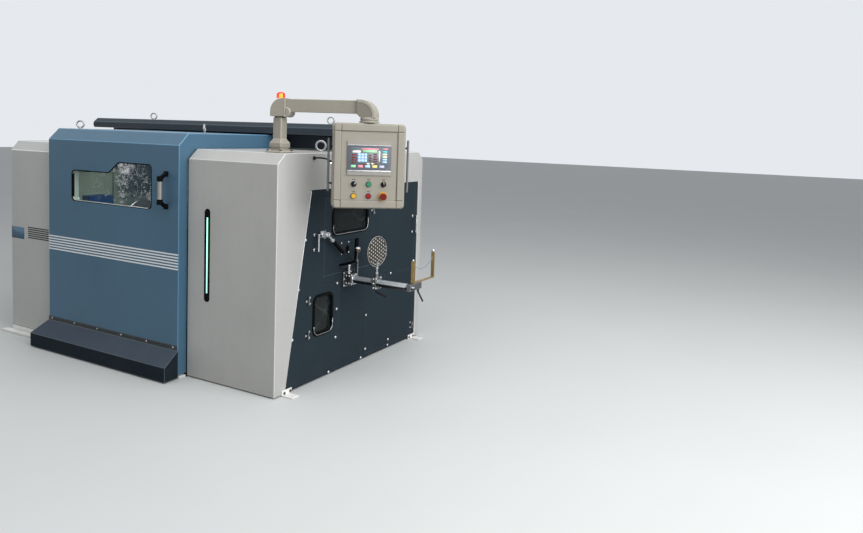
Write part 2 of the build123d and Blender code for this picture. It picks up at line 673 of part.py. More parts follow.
tube += rod((TUBE_X1 - 5, GUIDE_Y, GUIDE_Z), (ROD_X1, GUIDE_Y, GUIDE_Z), ROD_RADIUS)
save(tube, "guide_tube")

# Ball lever beside the guide bracket
lever_y = GUIDE_Y + BRACKET_HALF_WIDTH + LEVER_STANDOFF
pivot_x = (LEVER_X0 + LEVER_X1) / 2
lever_top = LEVER_PIVOT_Z + LEVER_HEIGHT
ball_lever = block(LEVER_X0, LEVER_X1, lever_y, lever_y + LEVER_THICKNESS,
                   LEVER_PIVOT_Z - LEVER_FOOT, lever_top)
ball_lever += rod((pivot_x, lever_y + LEVER_THICKNESS / 2, lever_top - LEVER_THICKNESS),
                  (BALL_X, BALL_Y, BALL_Z), LEVER_ROD_RADIUS)
ball_lever += Pos(BALL_X, BALL_Y, BALL_Z) * Sphere(BALL_RADIUS)
ball_lever -= rod((pivot_x, lever_y - 1, LEVER_PIVOT_Z),
                  (pivot_x, lever_y + LEVER_THICKNESS + 1, LEVER_PIVOT_Z), LEVER_PIN_RADIUS + PIN_CLEARANCE)
save(ball_lever, "ball_lever")
bracket_side = lever_y - LEVER_STANDOFF - 4
bracket += rod((pivot_x, bracket_side, LEVER_PIVOT_Z), (pivot_x, lever_y - 1, LEVER_PIVOT_Z),
               LEVER_BOSS_RADIUS)
bracket += rod((pivot_x, bracket_side, LEVER_PIVOT_Z), (pivot_x, lever_y + LEVER_THICKNESS, LEVER_PIVOT_Z),
               LEVER_PIN_RADIUS)
save(bracket, "guide_bracket")

# Perforated guide disc on its clamp
half_x, half_y, half_z = DISC_CLAMP_HALF
socket_z = GUIDE_Z + DISC_SOCKET_HEIGHT
disc_clamp = block(DISC_X - half_x, DISC_X + half_x, GUIDE_Y - half_y, GUIDE_Y + half_y,
                   GUIDE_Z - half_z, GUIDE_Z + half_z)
disc_clamp += rod((DISC_X, GUIDE_Y, GUIDE_Z + half_z - 2), (DISC_X, GUIDE_Y, socket_z), DISC_SOCKET_RADIUS)
tube_bore = rod((TUBE_X0, GUIDE_Y, GUIDE_Z), (TUBE_X1, GUIDE_Y, GUIDE_Z), TUBE_RADIUS)
disc_clamp -= tube_bore
guard_clamp = block(GUARD_X - GUARD_CLAMP_HALF, GUARD_X + GUARD_CLAMP_HALF,
                    GUIDE_Y - GUARD_CLAMP_OVERLAP, GUIDE_Y + GUARD_CLAMP_REACH,
                    GUIDE_Z - GUARD_CLAMP_DROP, GUARD_Z - GUARD_BAR_DEPTH)
guard_clamp -= rod((TUBE_X0, GUIDE_Y, GUIDE_Z), (ROD_X1, GUIDE_Y, GUIDE_Z), ROD_RADIUS)
save(Compound([disc_clamp, guard_clamp]), "guide_clamps")
neck_top = DISC_Z - DISC_RADIUS + DISC_SOCKET_RADIUS
neck = rod((DISC_X, GUIDE_Y, socket_z), (DISC_X, GUIDE_Y, neck_top), DISC_NECK_RADIUS)
disc = rod((-DISC_THICKNESS / 2, 0, DISC_Z), (DISC_THICKNESS / 2, 0, DISC_Z), DISC_RADIUS)
save(Pos(DISC_X, GUIDE_Y, 0) * Rot(0, 0, DISC_TURN) * disc + neck, "guide_disc")


def clamp_lever(x, y, z, length, slope):
    knee = z - CLAMP_SCREW_LENGTH + 2
    screw = rod((x, y, z), (x, y, z - CLAMP_SCREW_LENGTH), CLAMP_SCREW_RADIUS)
    return screw + rod((x, y, knee), (x + length, y, knee - slope), CLAMP_HANDLE_RADIUS)


levers = [
    clamp_lever(DISC_X, GUIDE_Y, GUIDE_Z - half_z, DISC_HANDLE_REACH, DISC_HANDLE_SLOPE),
    clamp_lever(GUARD_X, GUIDE_Y + GUARD_HANDLE_SHIFT, GUIDE_Z - GUARD_CLAMP_DROP,
                GUARD_HANDLE_REACH, GUARD_HANDLE_SLOPE),
]
save(Compound(levers), "clamp_levers")

# Wire guard: a crossbar with two uprights
half_bar = GUARD_BAR / 2
guard_low = GUARD_Z - GUARD_BAR_DEPTH
guard = block(GUARD_X - half_bar, GUARD_X + half_bar, GUARD_Y0, GUARD_Y1, guard_low, GUARD_Z + 1)
for y, height in ((GUARD_Y0, GUARD_POST_LOW), (GUARD_Y1 - GUARD_POST_THICKNESS, GUARD_POST_HIGH)):
    guard += block(GUARD_X - half_bar, GUARD_X + half_bar, y, y + GUARD_POST_THICKNESS, guard_low, height)
save(guard, "wire_guard")

# Tailstock cabinet, rear housing and canopy
save(chamfered_cabinet(X_TAIL, TAIL_X1, TAIL_FRONT_HEIGHT, TAIL_TOP, TAIL_CHAMFER_DEPTH), "tailstock_cabinet")
housing = block(TAIL_X1, HEAD_X0, HOUSING_Y, Y_BACK, BASE_THICKNESS, CANOPY_BOTTOM)
housing -= block(TAIL_X1 - 1, HEAD_X0 + 1, HOUSING_UPPER_Y1, Y_BACK + 1, TAIL_TOP, CANOPY_BOTTOM + 1)
housing += block(X_TAIL, TAIL_X1 + 1, HOUSING_Y, HOUSING_UPPER_Y1, TAIL_TOP, CANOPY_BOTTOM)
housing += block(CANOPY_NOSE_X + CANOPY_NOSE_UNDERCUT, X_TAIL + 1, HOUSING_Y, HOUSING_UPPER_Y1,
                 CANOPY_BOTTOM - HOUSING_LIP, CANOPY_BOTTOM)
housing += block(HEAD_X0 - 1, CANOPY_X1, HOUSING_Y, HOUSING_UPPER_Y1, HEAD_TOP, CANOPY_BOTTOM)
save(housing, "rear_housing")
canopy_outline = [
    (CANOPY_Y0, CANOPY_BOTTOM),
    (CANOPY_Y0, CANOPY_TOP - CANOPY_CHAMFER),
    (CANOPY_Y0 + CANOPY_CHAMFER, CANOPY_TOP),
    (CANOPY_Y1 - CANOPY_CHAMFER, CANOPY_TOP),
    (CANOPY_Y1, CANOPY_TOP - CANOPY_CHAMFER),
    (CANOPY_Y1, CANOPY_BOTTOM),
]
nose_outline = [
    (CANOPY_NOSE_X + CANOPY_NOSE_UNDERCUT, CANOPY_BOTTOM),
    (CANOPY_NOSE_X, CANOPY_NOSE_Z),
    (CANOPY_NOSE_X + CANOPY_NOSE_RISE, CANOPY_TOP),
    (CANOPY_X1, CANOPY_TOP),
    (CANOPY_X1, CANOPY_BOTTOM),
]
nose_face = Plane.XZ * make_face(Polyline(*nose_outline, close=True))
nose = Pos(0, CANOPY_Y1, 0) * extrude(nose_face, amount=CANOPY_Y1 - CANOPY_Y0)
save(prism_x(canopy_outline, CANOPY_NOSE_X, CANOPY_X1) & nose, "canopy")

# Front cover
cover_outline = [
    (COVER_Y_FRONT, COVER_BOTTOM),
    (COVER_Y_FRONT, COVER_FRONT_TOP),
    (COVER_Y_FRONT + COVER_CHAMFER_DEPTH, COVER_TOP),
    (COVER_Y_REAR, COVER_TOP),
    (COVER_Y_REAR, COVER_Z_INNER),
    (COVER_Y_INNER, COVER_Z_INNER),
    (COVER_Y_INNER, COVER_BOTTOM),
]
window_points = [
    (WINDOW_X0, WINDOW_Z0),
    (WINDOW_X0, WINDOW_Z_LOW),
    (WINDOW_STEP_X0, WINDOW_Z_LOW),
    (WINDOW_STEP_X1, WINDOW_Z_HIGH),
    (WINDOW_X1, WINDOW_Z_HIGH),
    (WINDOW_X1, WINDOW_Z0),
]
window_face = make_face(Polyline(*window_points, close=True))
window_face = fillet(window_face.vertices(), radius=WINDOW_RADIUS)


def window_prism(y0, y1):
    return Pos(0, y1, 0) * extrude(Plane.XZ * window_face, amount=y1 - y0)


cover = prism_x(cover_outline, COVER_X0, COVER_X1)
cover -= window_prism(COVER_Y_FRONT - 10, COVER_Y_INNER + 10)
return_outline = cover_outline[:4] + [
    (COVER_Y_REAR, HEAD_TOP - RETURN_LAP),
    (Y_FRONT + HEAD_CHAMFER_DEPTH + RETURN_LAP / 2, HEAD_TOP - RETURN_LAP),
    (Y_FRONT + RETURN_LAP, HEAD_FRONT_HEIGHT - RETURN_LAP / 2),
    (Y_FRONT + RETURN_LAP, COVER_BOTTOM),
]
cover += prism_x(return_outline, COVER_X1 - RETURN_THICKNESS, COVER_X1)
for x in (COVER_X0 + RUNNER_INSET, COVER_X1 - RUNNER_INSET - RUNNER_LENGTH):
    cover += block(x, x + RUNNER_LENGTH, COVER_Y_FRONT + RUNNER_SIDE, COVER_Y_INNER - RUNNER_SIDE,
                   RAIL_HEIGHT + RUNNER_CLEARANCE, COVER_BOTTOM + 1)
save(cover, "front_cover")
glass_front = COVER_Y_FRONT + GLASS_SETBACK
save(window_prism(glass_front, glass_front + GLASS_THICKNESS), "cover_glass")

# Cover handle: two brackets and a grip
grip_y = COVER_Y_FRONT - HANDLE_REACH + HANDLE_GRIP_RADIUS
grip_z0 = HANDLE_Z0 + HANDLE_INSET
grip_z1 = HANDLE_Z1 - HANDLE_INSET
handle = rod((HANDLE_X, grip_y, grip_z0), (HANDLE_X, grip_y, grip_z1), HANDLE_GRIP_RADIUS)
for z, inward in ((HANDLE_Z0, 1), (HANDLE_Z1, -1)):
    pad_y = COVER_Y_FRONT - HANDLE_PAD_THICKNESS
    pad = block(HANDLE_X - HANDLE_PAD / 2, HANDLE_X + HANDLE_PAD / 2, pad_y, COVER_Y_FRONT,
                z - HANDLE_PAD / 2, z + HANDLE_PAD / 2)
    tip_z = z + inward * HANDLE_INSET
    arm = rod((HANDLE_X, pad_y + 4, z), (HANDLE_X, grip_y, tip_z), HANDLE_ARM_RADIUS)
    socket = rod((HANDLE_X, grip_y, tip_z - HANDLE_SOCKET_HALF),
                 (HANDLE_X, grip_y, tip_z + HANDLE_SOCKET_HALF), HANDLE_GRIP_RADIUS + HANDLE_SOCKET_WALL)
    handle += pad + arm + socket
save(handle, "cover_handle")

# Kick box with its screwed flange
kick_y0 = COVER_Y_FRONT - KICK_DEPTH
kick_outline = [
    (kick_y0, KICK_BOTTOM),
    (kick_y0, KICK_FRONT_HEIGHT),
    (COVER_Y_FRONT, KICK_BACK_HEIGHT),
    (COVER_Y_FRONT, KICK_BOTTOM),
]
kick_plan = [
    (KICK_REAR_X0, COVER_Y_FRONT),
    (KICK_X0, kick_y0),
    (KICK_X1, kick_y0),
    (KICK_REAR_X1, COVER_Y_FRONT),
]
kick = prism_x(kick_outline, KICK_X0, KICK_X1)
kick &= extrude(make_face(Polyline(*kick_plan, close=True)), amount=KICK_BACK_HEIGHT)
kick += block(COVER_X0, COVER_X1, COVER_Y_FRONT - KICK_FLANGE_THICKNESS, COVER_Y_FRONT,
              KICK_BACK_HEIGHT - KICK_FLANGE_LAP, KICK_FLANGE_TOP)
save(kick, "kick_box")


def lifting_eye(x, y, z, outer, wire, turn):
    ring = Rot(0, 0, turn) * Rot(90, 0, 0) * Torus(outer - wire, wire)
    eye = Pos(x, y, z + EYE_LIFT + outer) * ring
    eye += Pos(x, y, z) * Cylinder(wire + EYE_COLLAR, EYE_LIFT + wire, align=RISING)
    return eye


cover_eyes = [lifting_eye(x, COVER_EYES_Y, COVER_TOP, SMALL_EYE_RADIUS, SMALL_EYE_WIRE, turn)
              for x, turn in zip(COVER_EYES_X, (EYE_FACING, EYE_EDGE_ON))]
save(Compound(cover_eyes), "cover_lifting_eyes")
fixed_eyes = [lifting_eye(x, CANOPY_EYES_Y, CANOPY_TOP, SMALL_EYE_RADIUS, SMALL_EYE_WIRE, EYE_FACING)
              for x in CANOPY_EYES_X]
fixed_eyes.append(lifting_eye(HEAD_EYE_X, HEAD_EYE_Y, HEAD_TOP, HEAD_EYE_RADIUS, HEAD_EYE_WIRE, EYE_FACING))
save(Compound(fixed_eyes), "fixed_lifting_eyes")

# Work lamp
lamp_z = (LAMP_Z0 + LAMP_Z1) / 2
lamp = block(X_END, X_END + LAMP_PLATE, LAMP_Y - LAMP_HALF_WIDTH, LAMP_Y + LAMP_HALF_WIDTH, LAMP_Z0, LAMP_Z1)
lamp += rod((X_END + LAMP_PLATE / 2, LAMP_Y, lamp_z), (X_END + LAMP_REACH, LAMP_Y, lamp_z - LAMP_DROOP),
            LAMP_ARM_RADIUS)
save(lamp, "work_lamp")

# Corner feet
feet = []
for side in (-1, 1):
    y0, y1 = sorted((-side * FOOT_OUTER_Y, -side * (FOOT_OUTER_Y + FOOT_WIDTH)))
    feet.append(block(X_TAIL - FOOT_REACH_TAIL, X_TAIL + BASE_INSET, y0, y1, 0, BASE_THICKNESS))
    bracket_foot = block(X_END - BASE_INSET, X_END + FOOT_REACH_END, y0, y1, 0, BASE_THICKNESS)
    y0, y1 = sorted((-side * FOOT_OUTER_Y, -side * (FOOT_OUTER_Y + FOOT_FLANGE_WIDTH)))
    feet.append(bracket_foot + block(X_END, X_END + BASE_THICKNESS, y0, y1, 0, FOOT_FLANGE_HEIGHT))
save(Compound(feet), "corner_feet")

# Operator post
plate_top = HEAD_TOP + POST_PLATE
socket_base = plate_top + POST_STANDOFF
socket_top = socket_base + POST_SOCKET_HEIGHT
shoulder_top = socket_top + POST_SHOULDER


def post_block(width, depth, z0, z1):
    return block(POST_X - width / 2, POST_X + width / 2, POST_Y - depth / 2, POST_Y + depth / 2, z0, z1)


post = post_block(POST_PLATE_WIDTH, POST_PLATE_WIDTH, HEAD_TOP, plate_top)
post += post_block(POST_SOCKET_WIDTH - POST_STANDOFF_INSET, POST_SOCKET_DEPTH - POST_STANDOFF_INSET,
                   plate_top, socket_base)
post += post_block(POST_SOCKET_WIDTH, POST_SOCKET_DEPTH, socket_base, socket_top)
post += loft([Pos(POST_X, POST_Y, socket_top) * Rectangle(POST_SOCKET_WIDTH, POST_SOCKET_DEPTH),
              Pos(POST_X, POST_Y, shoulder_top) * Rectangle(POST_WIDTH, POST_DEPTH)])
shaft = post_block(POST_WIDTH, POST_DEPTH, shoulder_top - 1, POST_TOP)
post += chamfer(shaft.faces().sort_by(Axis.Z)[-1].edges(), length=POST_TOP_CHAMFER)
post += Pos(POST_X, POST_Y, POST_TOP) * Cylinder(SPIGOT_RADIUS, SPIGOT_LENGTH, align=RISING)
save(post, "operator_post")

# Operator arm, laid out along X from the post axis and then turned
arm_place = Pos(POST_X, POST_Y, 0) * Rot(0, 0, ARM_ANGLE)
half_elbow = ELBOW_WIDTH / 2
elbow_bottom = POST_TOP + SWIVEL_GAP
elbow = block(-ELBOW_BACK, half_elbow, -half_elbow, half_elbow, elbow_bottom, ELBOW_TOP)
elbow_radius = min(ELBOW_ROUND_SHARE * (ELBOW_TOP - elbow_bottom), ELBOW_ROUND_MOST)
crown = elbow.edges().filter_by(Axis.Y).sort_by(lambda e: e.center().X - e.center().Z)[0]
elbow = fillet(crown, radius=elbow_radius)
belly_x = half_elbow + ELBOW_BELLY_SHIFT
belly_z = elbow_bottom + ELBOW_BELLY_RADIUS - ELBOW_BELLY_DIP
elbow += rod((belly_x, 1 - half_elbow, belly_z), (belly_x, half_elbow - 1, belly_z), ELBOW_BELLY_RADIUS)
far_bottom = PENDANT_TOP + SWIVEL_GAP + COLLAR_HEIGHT - FAR_ELBOW_LAP
far_elbow = block(ARM_LENGTH - FAR_ELBOW_INNER, ARM_LENGTH + FAR_ELBOW_OUTER, -half_elbow, half_elbow,
                  far_bottom, ELBOW_TOP)
far_radius = min(FAR_ELBOW_ROUND_SHARE * (ELBOW_TOP - far_bottom), FAR_ELBOW_ROUND_MOST)
far_elbow = fillet(far_elbow.edges().filter_by(Axis.Y).sort_by(lambda e: -e.center().X - e.center().Z)[0],
                   radius=far_radius)
far_elbow = fillet(far_elbow.edges().filter_by(Axis.Y).sort_by(lambda e: e.center().X + e.center().Z)[0],
                   radius=FAR_ELBOW_THROAT_SHARE * (ELBOW_TOP - far_bottom))
tube_piece = block(half_elbow - 1, ARM_LENGTH - FAR_ELBOW_INNER + 6, -ARM_WIDTH / 2, ARM_WIDTH / 2,
                   ARM_BOTTOM, ARM_TOP)
neck_bottom = PENDANT_TOP + SWIVEL_GAP
neck_ring = Pos(ARM_LENGTH, 0, neck_bottom) * Cylinder(COLLAR_RADIUS, COLLAR_HEIGHT, align=RISING)
arm_solid = elbow + tube_piece + far_elbow + neck_ring
arm_solid -= Cylinder(SPIGOT_RADIUS + PIN_CLEARANCE, POST_TOP + SPIGOT_LENGTH + SWIVEL_GAP, align=RISING)
arm_solid -= Pos(ARM_LENGTH, 0, 0) * Cylinder(PENDANT_PIN_RADIUS + PIN_CLEARANCE,
                                              PENDANT_TOP + PENDANT_PIN_LENGTH + SWIVEL_GAP, align=RISING)
save(arm_place * arm_solid, "operator_arm")
beacon = Cylinder(BEACON_RADIUS, BEACON_SINK + BEACON_RISE, align=RISING)
beacon = Pos(BEACON_X, 0, ELBOW_TOP - BEACON_SINK) * beacon
beacon -= elbow + tube_piece
save(arm_place * beacon, "beacon")

# Pendant, laid out with its face toward -Y and then turned
neck_x = POST_X + ARM_LENGTH * math.cos(math.radians(ARM_ANGLE))
neck_y = POST_Y + ARM_LENGTH * math.sin(math.radians(ARM_ANGLE))
pendant_place = Pos(neck_x, neck_y, 0) * Rot(0, 0, PENDANT_ANGLE)
half_w = PENDANT_WIDTH / 2
half_d = PENDANT_DEPTH / 2
pendant_bottom = PENDANT_TOP - PENDANT_HEIGHT
box = block(-half_w, half_w, -half_d, half_d, pendant_bottom, PENDANT_TOP)
box = fillet(box.edges().filter_by(Axis.Y), radius=PENDANT_RADIUS)
front_and_back = box.faces().sort_by(Axis.Y)[0].edges() + box.faces().sort_by(Axis.Y)[-1].edges()
box = fillet(front_and_back, radius=PENDANT_EDGE)
box += Pos(0, 0, PENDANT_TOP - 1) * Cylinder(PENDANT_PIN_RADIUS, PENDANT_PIN_LENGTH + 1, align=RISING)
estop_bore = rod((ESTOP_X, -half_d - ESTOP_RING - 1, BUTTON_Z_LOW),
                 (ESTOP_X, -half_d + ESTOP_BORE_DEPTH, BUTTON_Z_LOW), ESTOP_STEM_RADIUS + PIN_CLEARANCE)
save(pendant_place * (box - estop_bore), "pendant_box")
screen = block(-BEZEL_WIDTH / 2, BEZEL_WIDTH / 2, -half_d - BEZEL_THICKNESS, -half_d, BEZEL_Z0, BEZEL_Z1)
save(pendant_place * screen, "pendant_screen")


def button(x, z, radius, proud):
    return rod((x, -half_d, z), (x, -half_d - proud, z), radius)


def selector(x, z):
    knob = button(x, z, BUTTON_RADIUS, SELECTOR_BASE)
    return knob + block(x - SELECTOR_HALF_WIDTH, x + SELECTOR_HALF_WIDTH, -half_d - SELECTOR_PROUD,
                        -half_d - SELECTOR_BASE + 1, z - SELECTOR_HALF_HEIGHT, z + SELECTOR_HALF_HEIGHT)


controls = [
    button(0, BUTTON_Z_HIGH, BUTTON_RADIUS, BUTTON_PROUD),
    button(-BUTTON_PITCH, BUTTON_Z_LOW, BUTTON_RADIUS, BUTTON_PROUD),
    button(0, BUTTON_Z_LOW, BUTTON_RADIUS, BUTTON_PROUD),
    button(ESTOP_X, BUTTON_Z_LOW, ESTOP_RING_RADIUS, ESTOP_RING) - estop_bore,
    selector(-BUTTON_PITCH, BUTTON_Z_HIGH),
    selector(BUTTON_PITCH, BUTTON_Z_HIGH),
]
save(pendant_place * Compound(controls), "pendant_controls")
collar_y = -half_d - ESTOP_RING - ESTOP_TRAVEL_GAP
mushroom = rod((ESTOP_X, -half_d + ESTOP_STEM_LENGTH, BUTTON_Z_LOW), (ESTOP_X, collar_y - 1, BUTTON_Z_LOW),
               ESTOP_STEM_RADIUS)
head_y = collar_y - ESTOP_COLLAR_LENGTH
mushroom += rod((ESTOP_X, collar_y, BUTTON_Z_LOW), (ESTOP_X, head_y, BUTTON_Z_LOW), ESTOP_COLLAR_RADIUS)
mushroom += rod((ESTOP_X, head_y, BUTTON_Z_LOW), (ESTOP_X, head_y - ESTOP_HEAD_LENGTH, BUTTON_Z_LOW),
                ESTOP_HEAD_RADIUS)
save(pendant_place * mushroom, "estop_button")
side_rods = []
for side in (-1, 1):
    x = side * SIDE_ROD_X
    bar = rod((x, 0, SIDE_ROD_Z0), (x, 0, SIDE_ROD_Z1), SIDE_ROD_RADIUS)
    for z in (SIDE_ROD_Z0 + SIDE_ROD_INSET, SIDE_ROD_Z1 - SIDE_ROD_INSET):
        bar += rod((x, 0, z), (side * half_w, 0, z), SIDE_ROD_STANDOFF_RADIUS)
    side_rods.append(bar)
save(pendant_place * Compound(side_rods), "pendant_side_rods")

# Reel on pintles between the cheeks of its cradle
reel_half = REEL_WIDTH / 2
reel = rod((REEL_X - reel_half, REEL_Y, REEL_Z), (REEL_X + reel_half, REEL_Y, REEL_Z), REEL_BARREL_RADIUS)
for side in (-1, 1):
    outer = REEL_X + side * reel_half
    inner = outer - side * REEL_FLANGE
    reel += rod((inner, REEL_Y, REEL_Z), (outer, REEL_Y, REEL_Z), REEL_FLANGE_RADIUS)
reel -= rod((REEL_X - reel_half - 1, REEL_Y, REEL_Z), (REEL_X + reel_half + 1, REEL_Y, REEL_Z),
            PINTLE_RADIUS + PIN_CLEARANCE)
save(reel, "take_up_reel")
cheeks = []
for side, wall in ((-1, TAIL_X1), (1, HEAD_X0)):
    face = REEL_X + side * (reel_half + CHEEK_CLEARANCE)
    back = face + side * CHEEK_THICKNESS
    x0, x1 = sorted((face, back))
    cheek = block(x0, x1, REEL_Y - CHEEK_HALF_DEPTH, REEL_Y + CHEEK_HALF_DEPTH, REEL_Z - CHEEK_DROP,
                  REEL_Z + CHEEK_RISE)
    cheek += rod((back, REEL_Y, REEL_Z), (wall, REEL_Y, REEL_Z), CHEEK_STUB_RADIUS)
    if side < 0:
        guard_block = block(wall, wall + GUARD_BLOCK_DEPTH, GUARD_BLOCK_Y0, GUARD_BLOCK_Y1, GUARD_BLOCK_Z0,
                            GUARD_BLOCK_Z1)
        top_edge = guard_block.edges().filter_by(Axis.X).sort_by(lambda e: -e.center().Y - e.center().Z)[0]
        cheek += fillet(top_edge, radius=GUARD_BLOCK_RADIUS)
    cheek += rod((face, REEL_Y, REEL_Z), (face - side * PINTLE_LENGTH, REEL_Y, REEL_Z), PINTLE_RADIUS)
    cheeks.append(cheek)
save(Compound(cheeks), "reel_cradle")
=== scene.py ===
import json
import math

import bmesh
import bpy
from mathutils import Matrix, Vector


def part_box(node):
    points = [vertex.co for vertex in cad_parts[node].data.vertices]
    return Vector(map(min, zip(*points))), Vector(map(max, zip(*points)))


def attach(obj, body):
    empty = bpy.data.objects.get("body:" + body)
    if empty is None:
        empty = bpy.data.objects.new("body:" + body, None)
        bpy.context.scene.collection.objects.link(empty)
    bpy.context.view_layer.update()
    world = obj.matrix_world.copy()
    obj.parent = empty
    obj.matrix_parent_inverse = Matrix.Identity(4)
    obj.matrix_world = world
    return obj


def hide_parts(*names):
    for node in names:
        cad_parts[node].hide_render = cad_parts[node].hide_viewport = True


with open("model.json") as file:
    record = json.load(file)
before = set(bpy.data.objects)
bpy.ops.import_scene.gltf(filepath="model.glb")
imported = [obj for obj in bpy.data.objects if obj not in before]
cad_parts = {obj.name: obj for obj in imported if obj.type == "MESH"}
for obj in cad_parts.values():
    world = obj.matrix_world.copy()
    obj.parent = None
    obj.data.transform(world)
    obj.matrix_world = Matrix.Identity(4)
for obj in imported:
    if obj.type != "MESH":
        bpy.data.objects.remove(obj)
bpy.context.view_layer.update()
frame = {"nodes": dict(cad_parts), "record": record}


# Colours
def tint(red, green, blue):
    """A colour as it looks on a screen, from 0 to 255, as the linear colour that a shader takes."""
    linear = [((part / 255 + 0.055) / 1.055) ** 2.4 for part in (red, green, blue)]
    return (*linear, 1.0)


def lighter(colour, share):
    return (*(min(1.0, part * share) for part in colour[:3]), 1.0)


STEEL_BLUE = tint(73, 109, 133)
CABINET_WHITE = tint(194, 195, 192)
HEAD_WHITE = tint(187, 187, 184)
SLATE = tint(43, 53, 60)
ARM_BEIGE = tint(156, 151, 139)
LINER_GREEN = tint(160, 180, 164)
POCKET_SHADE = tint(11, 12, 14)
DUST = tint(140, 136, 126)
BARE_STEEL = tint(168, 170, 172)
RUBBER_BLACK = tint(24, 25, 27)
PLASTIC_BLACK = tint(26, 26, 28)
SHEET_PAINTED_SHADE = tint(44, 66, 80)
LAMP_RED = tint(232, 22, 16)
LAMP_WHITE = tint(225, 255, 235)
FLOOR_PALE = tint(205, 207, 206)
FLOOR_BOUNCE = tint(88, 92, 90)

# Screen colours of the fields on the pendant's display
DISPLAY_COLOURS = {
    "ground": (96, 106, 112),
    "white": (238, 240, 236),
    "sky": (176, 208, 240),
    "cyan": (90, 205, 205),
    "cream": (232, 228, 200),
    "mint": (150, 220, 165),
    "pink": (238, 140, 160),
    "yellow": (238, 226, 130),
    "lavender": (190, 190, 232),
    "crimson": (108, 26, 40),
}

# Places and half sizes of the lit pieces, in metres
SIGNAL_X = 0.775
SIGNAL_HALF = 0.0076
BEACON_WAIST = 1.866
BEACON_HALF = 0.026

# Axis of the wire guide
GUIDE_Y = -0.143
GUIDE_Z = 0.640

# Where the cover's window steps up, the bounds of the pockets painted in shade and of the chamber, in metres
SHEET_STEP_X = 0.04
POCKET_INNER_X = 1.2
POCKET_OUTER_X = 1.3291
POCKET_HALF_Y = 0.8695
POCKET_LOW_Z = 0.03
POCKET_HIGH_Z = 1.3
CHAMBER_BACK_Y = 0.0745
CHAMBER_HIGH_Z = 1.52

# The photograph's camera: place in metres, turns in radians, focal length in pixels of its frame
PHOTO_WIDTH = 863.0
PHOTO_HEIGHT = 533.0
EYE = Vector((4.2531, -4.2011, 1.6634))
YAW = 0.5054017
PITCH_DOWN = 0.0713404
ROLL = 0.0326871
FOCAL_PIXELS = 718.97
OPTICAL_ROW = 185.1
SENSOR_MM = 36.0

# Materials by name; each finish adds itself
MATERIALS = {}


class Value:
    """One output of a node tree. Sums, products and the like of values add Math nodes."""

    def __init__(self, tree, socket):
        self.tree = tree
        self.socket = socket

    def __add__(self, other):
        return self.tree.math("ADD", self, other)

    def __sub__(self, other):
        return self.tree.math("SUBTRACT", self, other)

    def __rsub__(self, other):
        return self.tree.math("SUBTRACT", other, self)

    def __mul__(self, other):
        return self.tree.math("MULTIPLY", self, other)

    def __truediv__(self, other):
        return self.tree.math("DIVIDE", self, other)

    def __abs__(self):
        return self.tree.math("ABSOLUTE", self)


class Tree:
    """A shader or geometry node tree, written as expressions."""

    def __init__(self, node_tree):
        self.nodes = node_tree.nodes
        self.links = node_tree.links

    def add(self, kind, settings=None, inputs=None, out=0):
        node = self.nodes.new(kind)
        for name, value in (settings or {}).items():
            setattr(node, name, value)
        for key, value in (inputs or {}).items():
            if isinstance(value, Value):
                self.links.new(value.socket, node.inputs[key])
            else:
                node.inputs[key].default_value = value
        return Value(self, node.outputs[out]) if len(node.outputs) else None

    def math(self, operation, *values):
        return self.add("ShaderNodeMath", {"operation": operation}, dict(enumerate(values)))


class Finish(Tree):
    """The node tree of one material, on the object's own coordinates."""

    def __init__(self, name):
        material = bpy.data.materials.new(name)
        material.use_nodes = True
        material.node_tree.nodes.clear()
        MATERIALS[name] = material
        super().__init__(material.node_tree)
        self.place = self.add("ShaderNodeTexCoord", out="Object")
        split = self.nodes.new("ShaderNodeSeparateXYZ")
        self.links.new(self.place.socket, split.inputs[0])
        self.x, self.y, self.z = (Value(self, socket) for socket in split.outputs)

    def clamp(self, value):
        return self.add("ShaderNodeClamp", inputs={0: value})

    def ramp_up(self, value, low, high):
        """0 below low, 1 above high and a smooth rise between."""
        settings = {"interpolation_type": "SMOOTHSTEP"}
        inputs = {"Value": value, "From Min": low, "From Max": high}
        return self.add("ShaderNodeMapRange", settings, inputs)

    def step(self, value, edge, width=0.001):
        """A sharp rise from 0 to 1 at an edge."""
        return self.ramp_up(value, edge, edge + width)

    def about_zero(self, value, inner, outer):
        """1 within inner of zero and 0 beyond outer."""
        return 1 - self.ramp_up(abs(value), inner, outer)

    def stretched(self, x, y, z):
        return self.add("ShaderNodeMapping", inputs={"Vector": self.place, "Scale": (x, y, z)})

    def noise(self, scale, detail=3.0, place=None, roughness=0.55):
        inputs = {"Vector": place or self.place, "Scale": scale, "Detail": detail, "Roughness": roughness}
        return self.add("ShaderNodeTexNoise", inputs=inputs)

    def patches(self, low, high, *noise, **more):
        """0 where a noise is below low, 1 where it is above high."""
        return self.ramp_up(self.noise(*noise, **more), low, high)

    def mix(self, amount, first, second):
        inputs = {0: amount, 6: first, 7: second}
        return self.add("ShaderNodeMix", {"data_type": "RGBA", "clamp_factor": True}, inputs, out=2)

    def shades(self, amount, colour, dark, light):
        """One colour between a darker and a lighter shade of it."""
        return self.mix(amount, lighter(colour, dark), lighter(colour, light))

    def bump(self, height, distance, strength=1.0, normal=None):
        inputs = {"Height": height, "Distance": distance, "Strength": strength}
        if normal:
            inputs["Normal"] = normal
        return self.add("ShaderNodeBump", inputs=inputs)

    def surface(self, **sockets):
        """Ends the tree in its surface shader; words in a socket's name are joined by _ here."""
        inputs = {name.replace("_", " "): value for name, value in sockets.items()}
        shader = self.add("ShaderNodeBsdfPrincipled", inputs=inputs)
        self.add("ShaderNodeOutputMaterial", inputs={"Surface": shader})


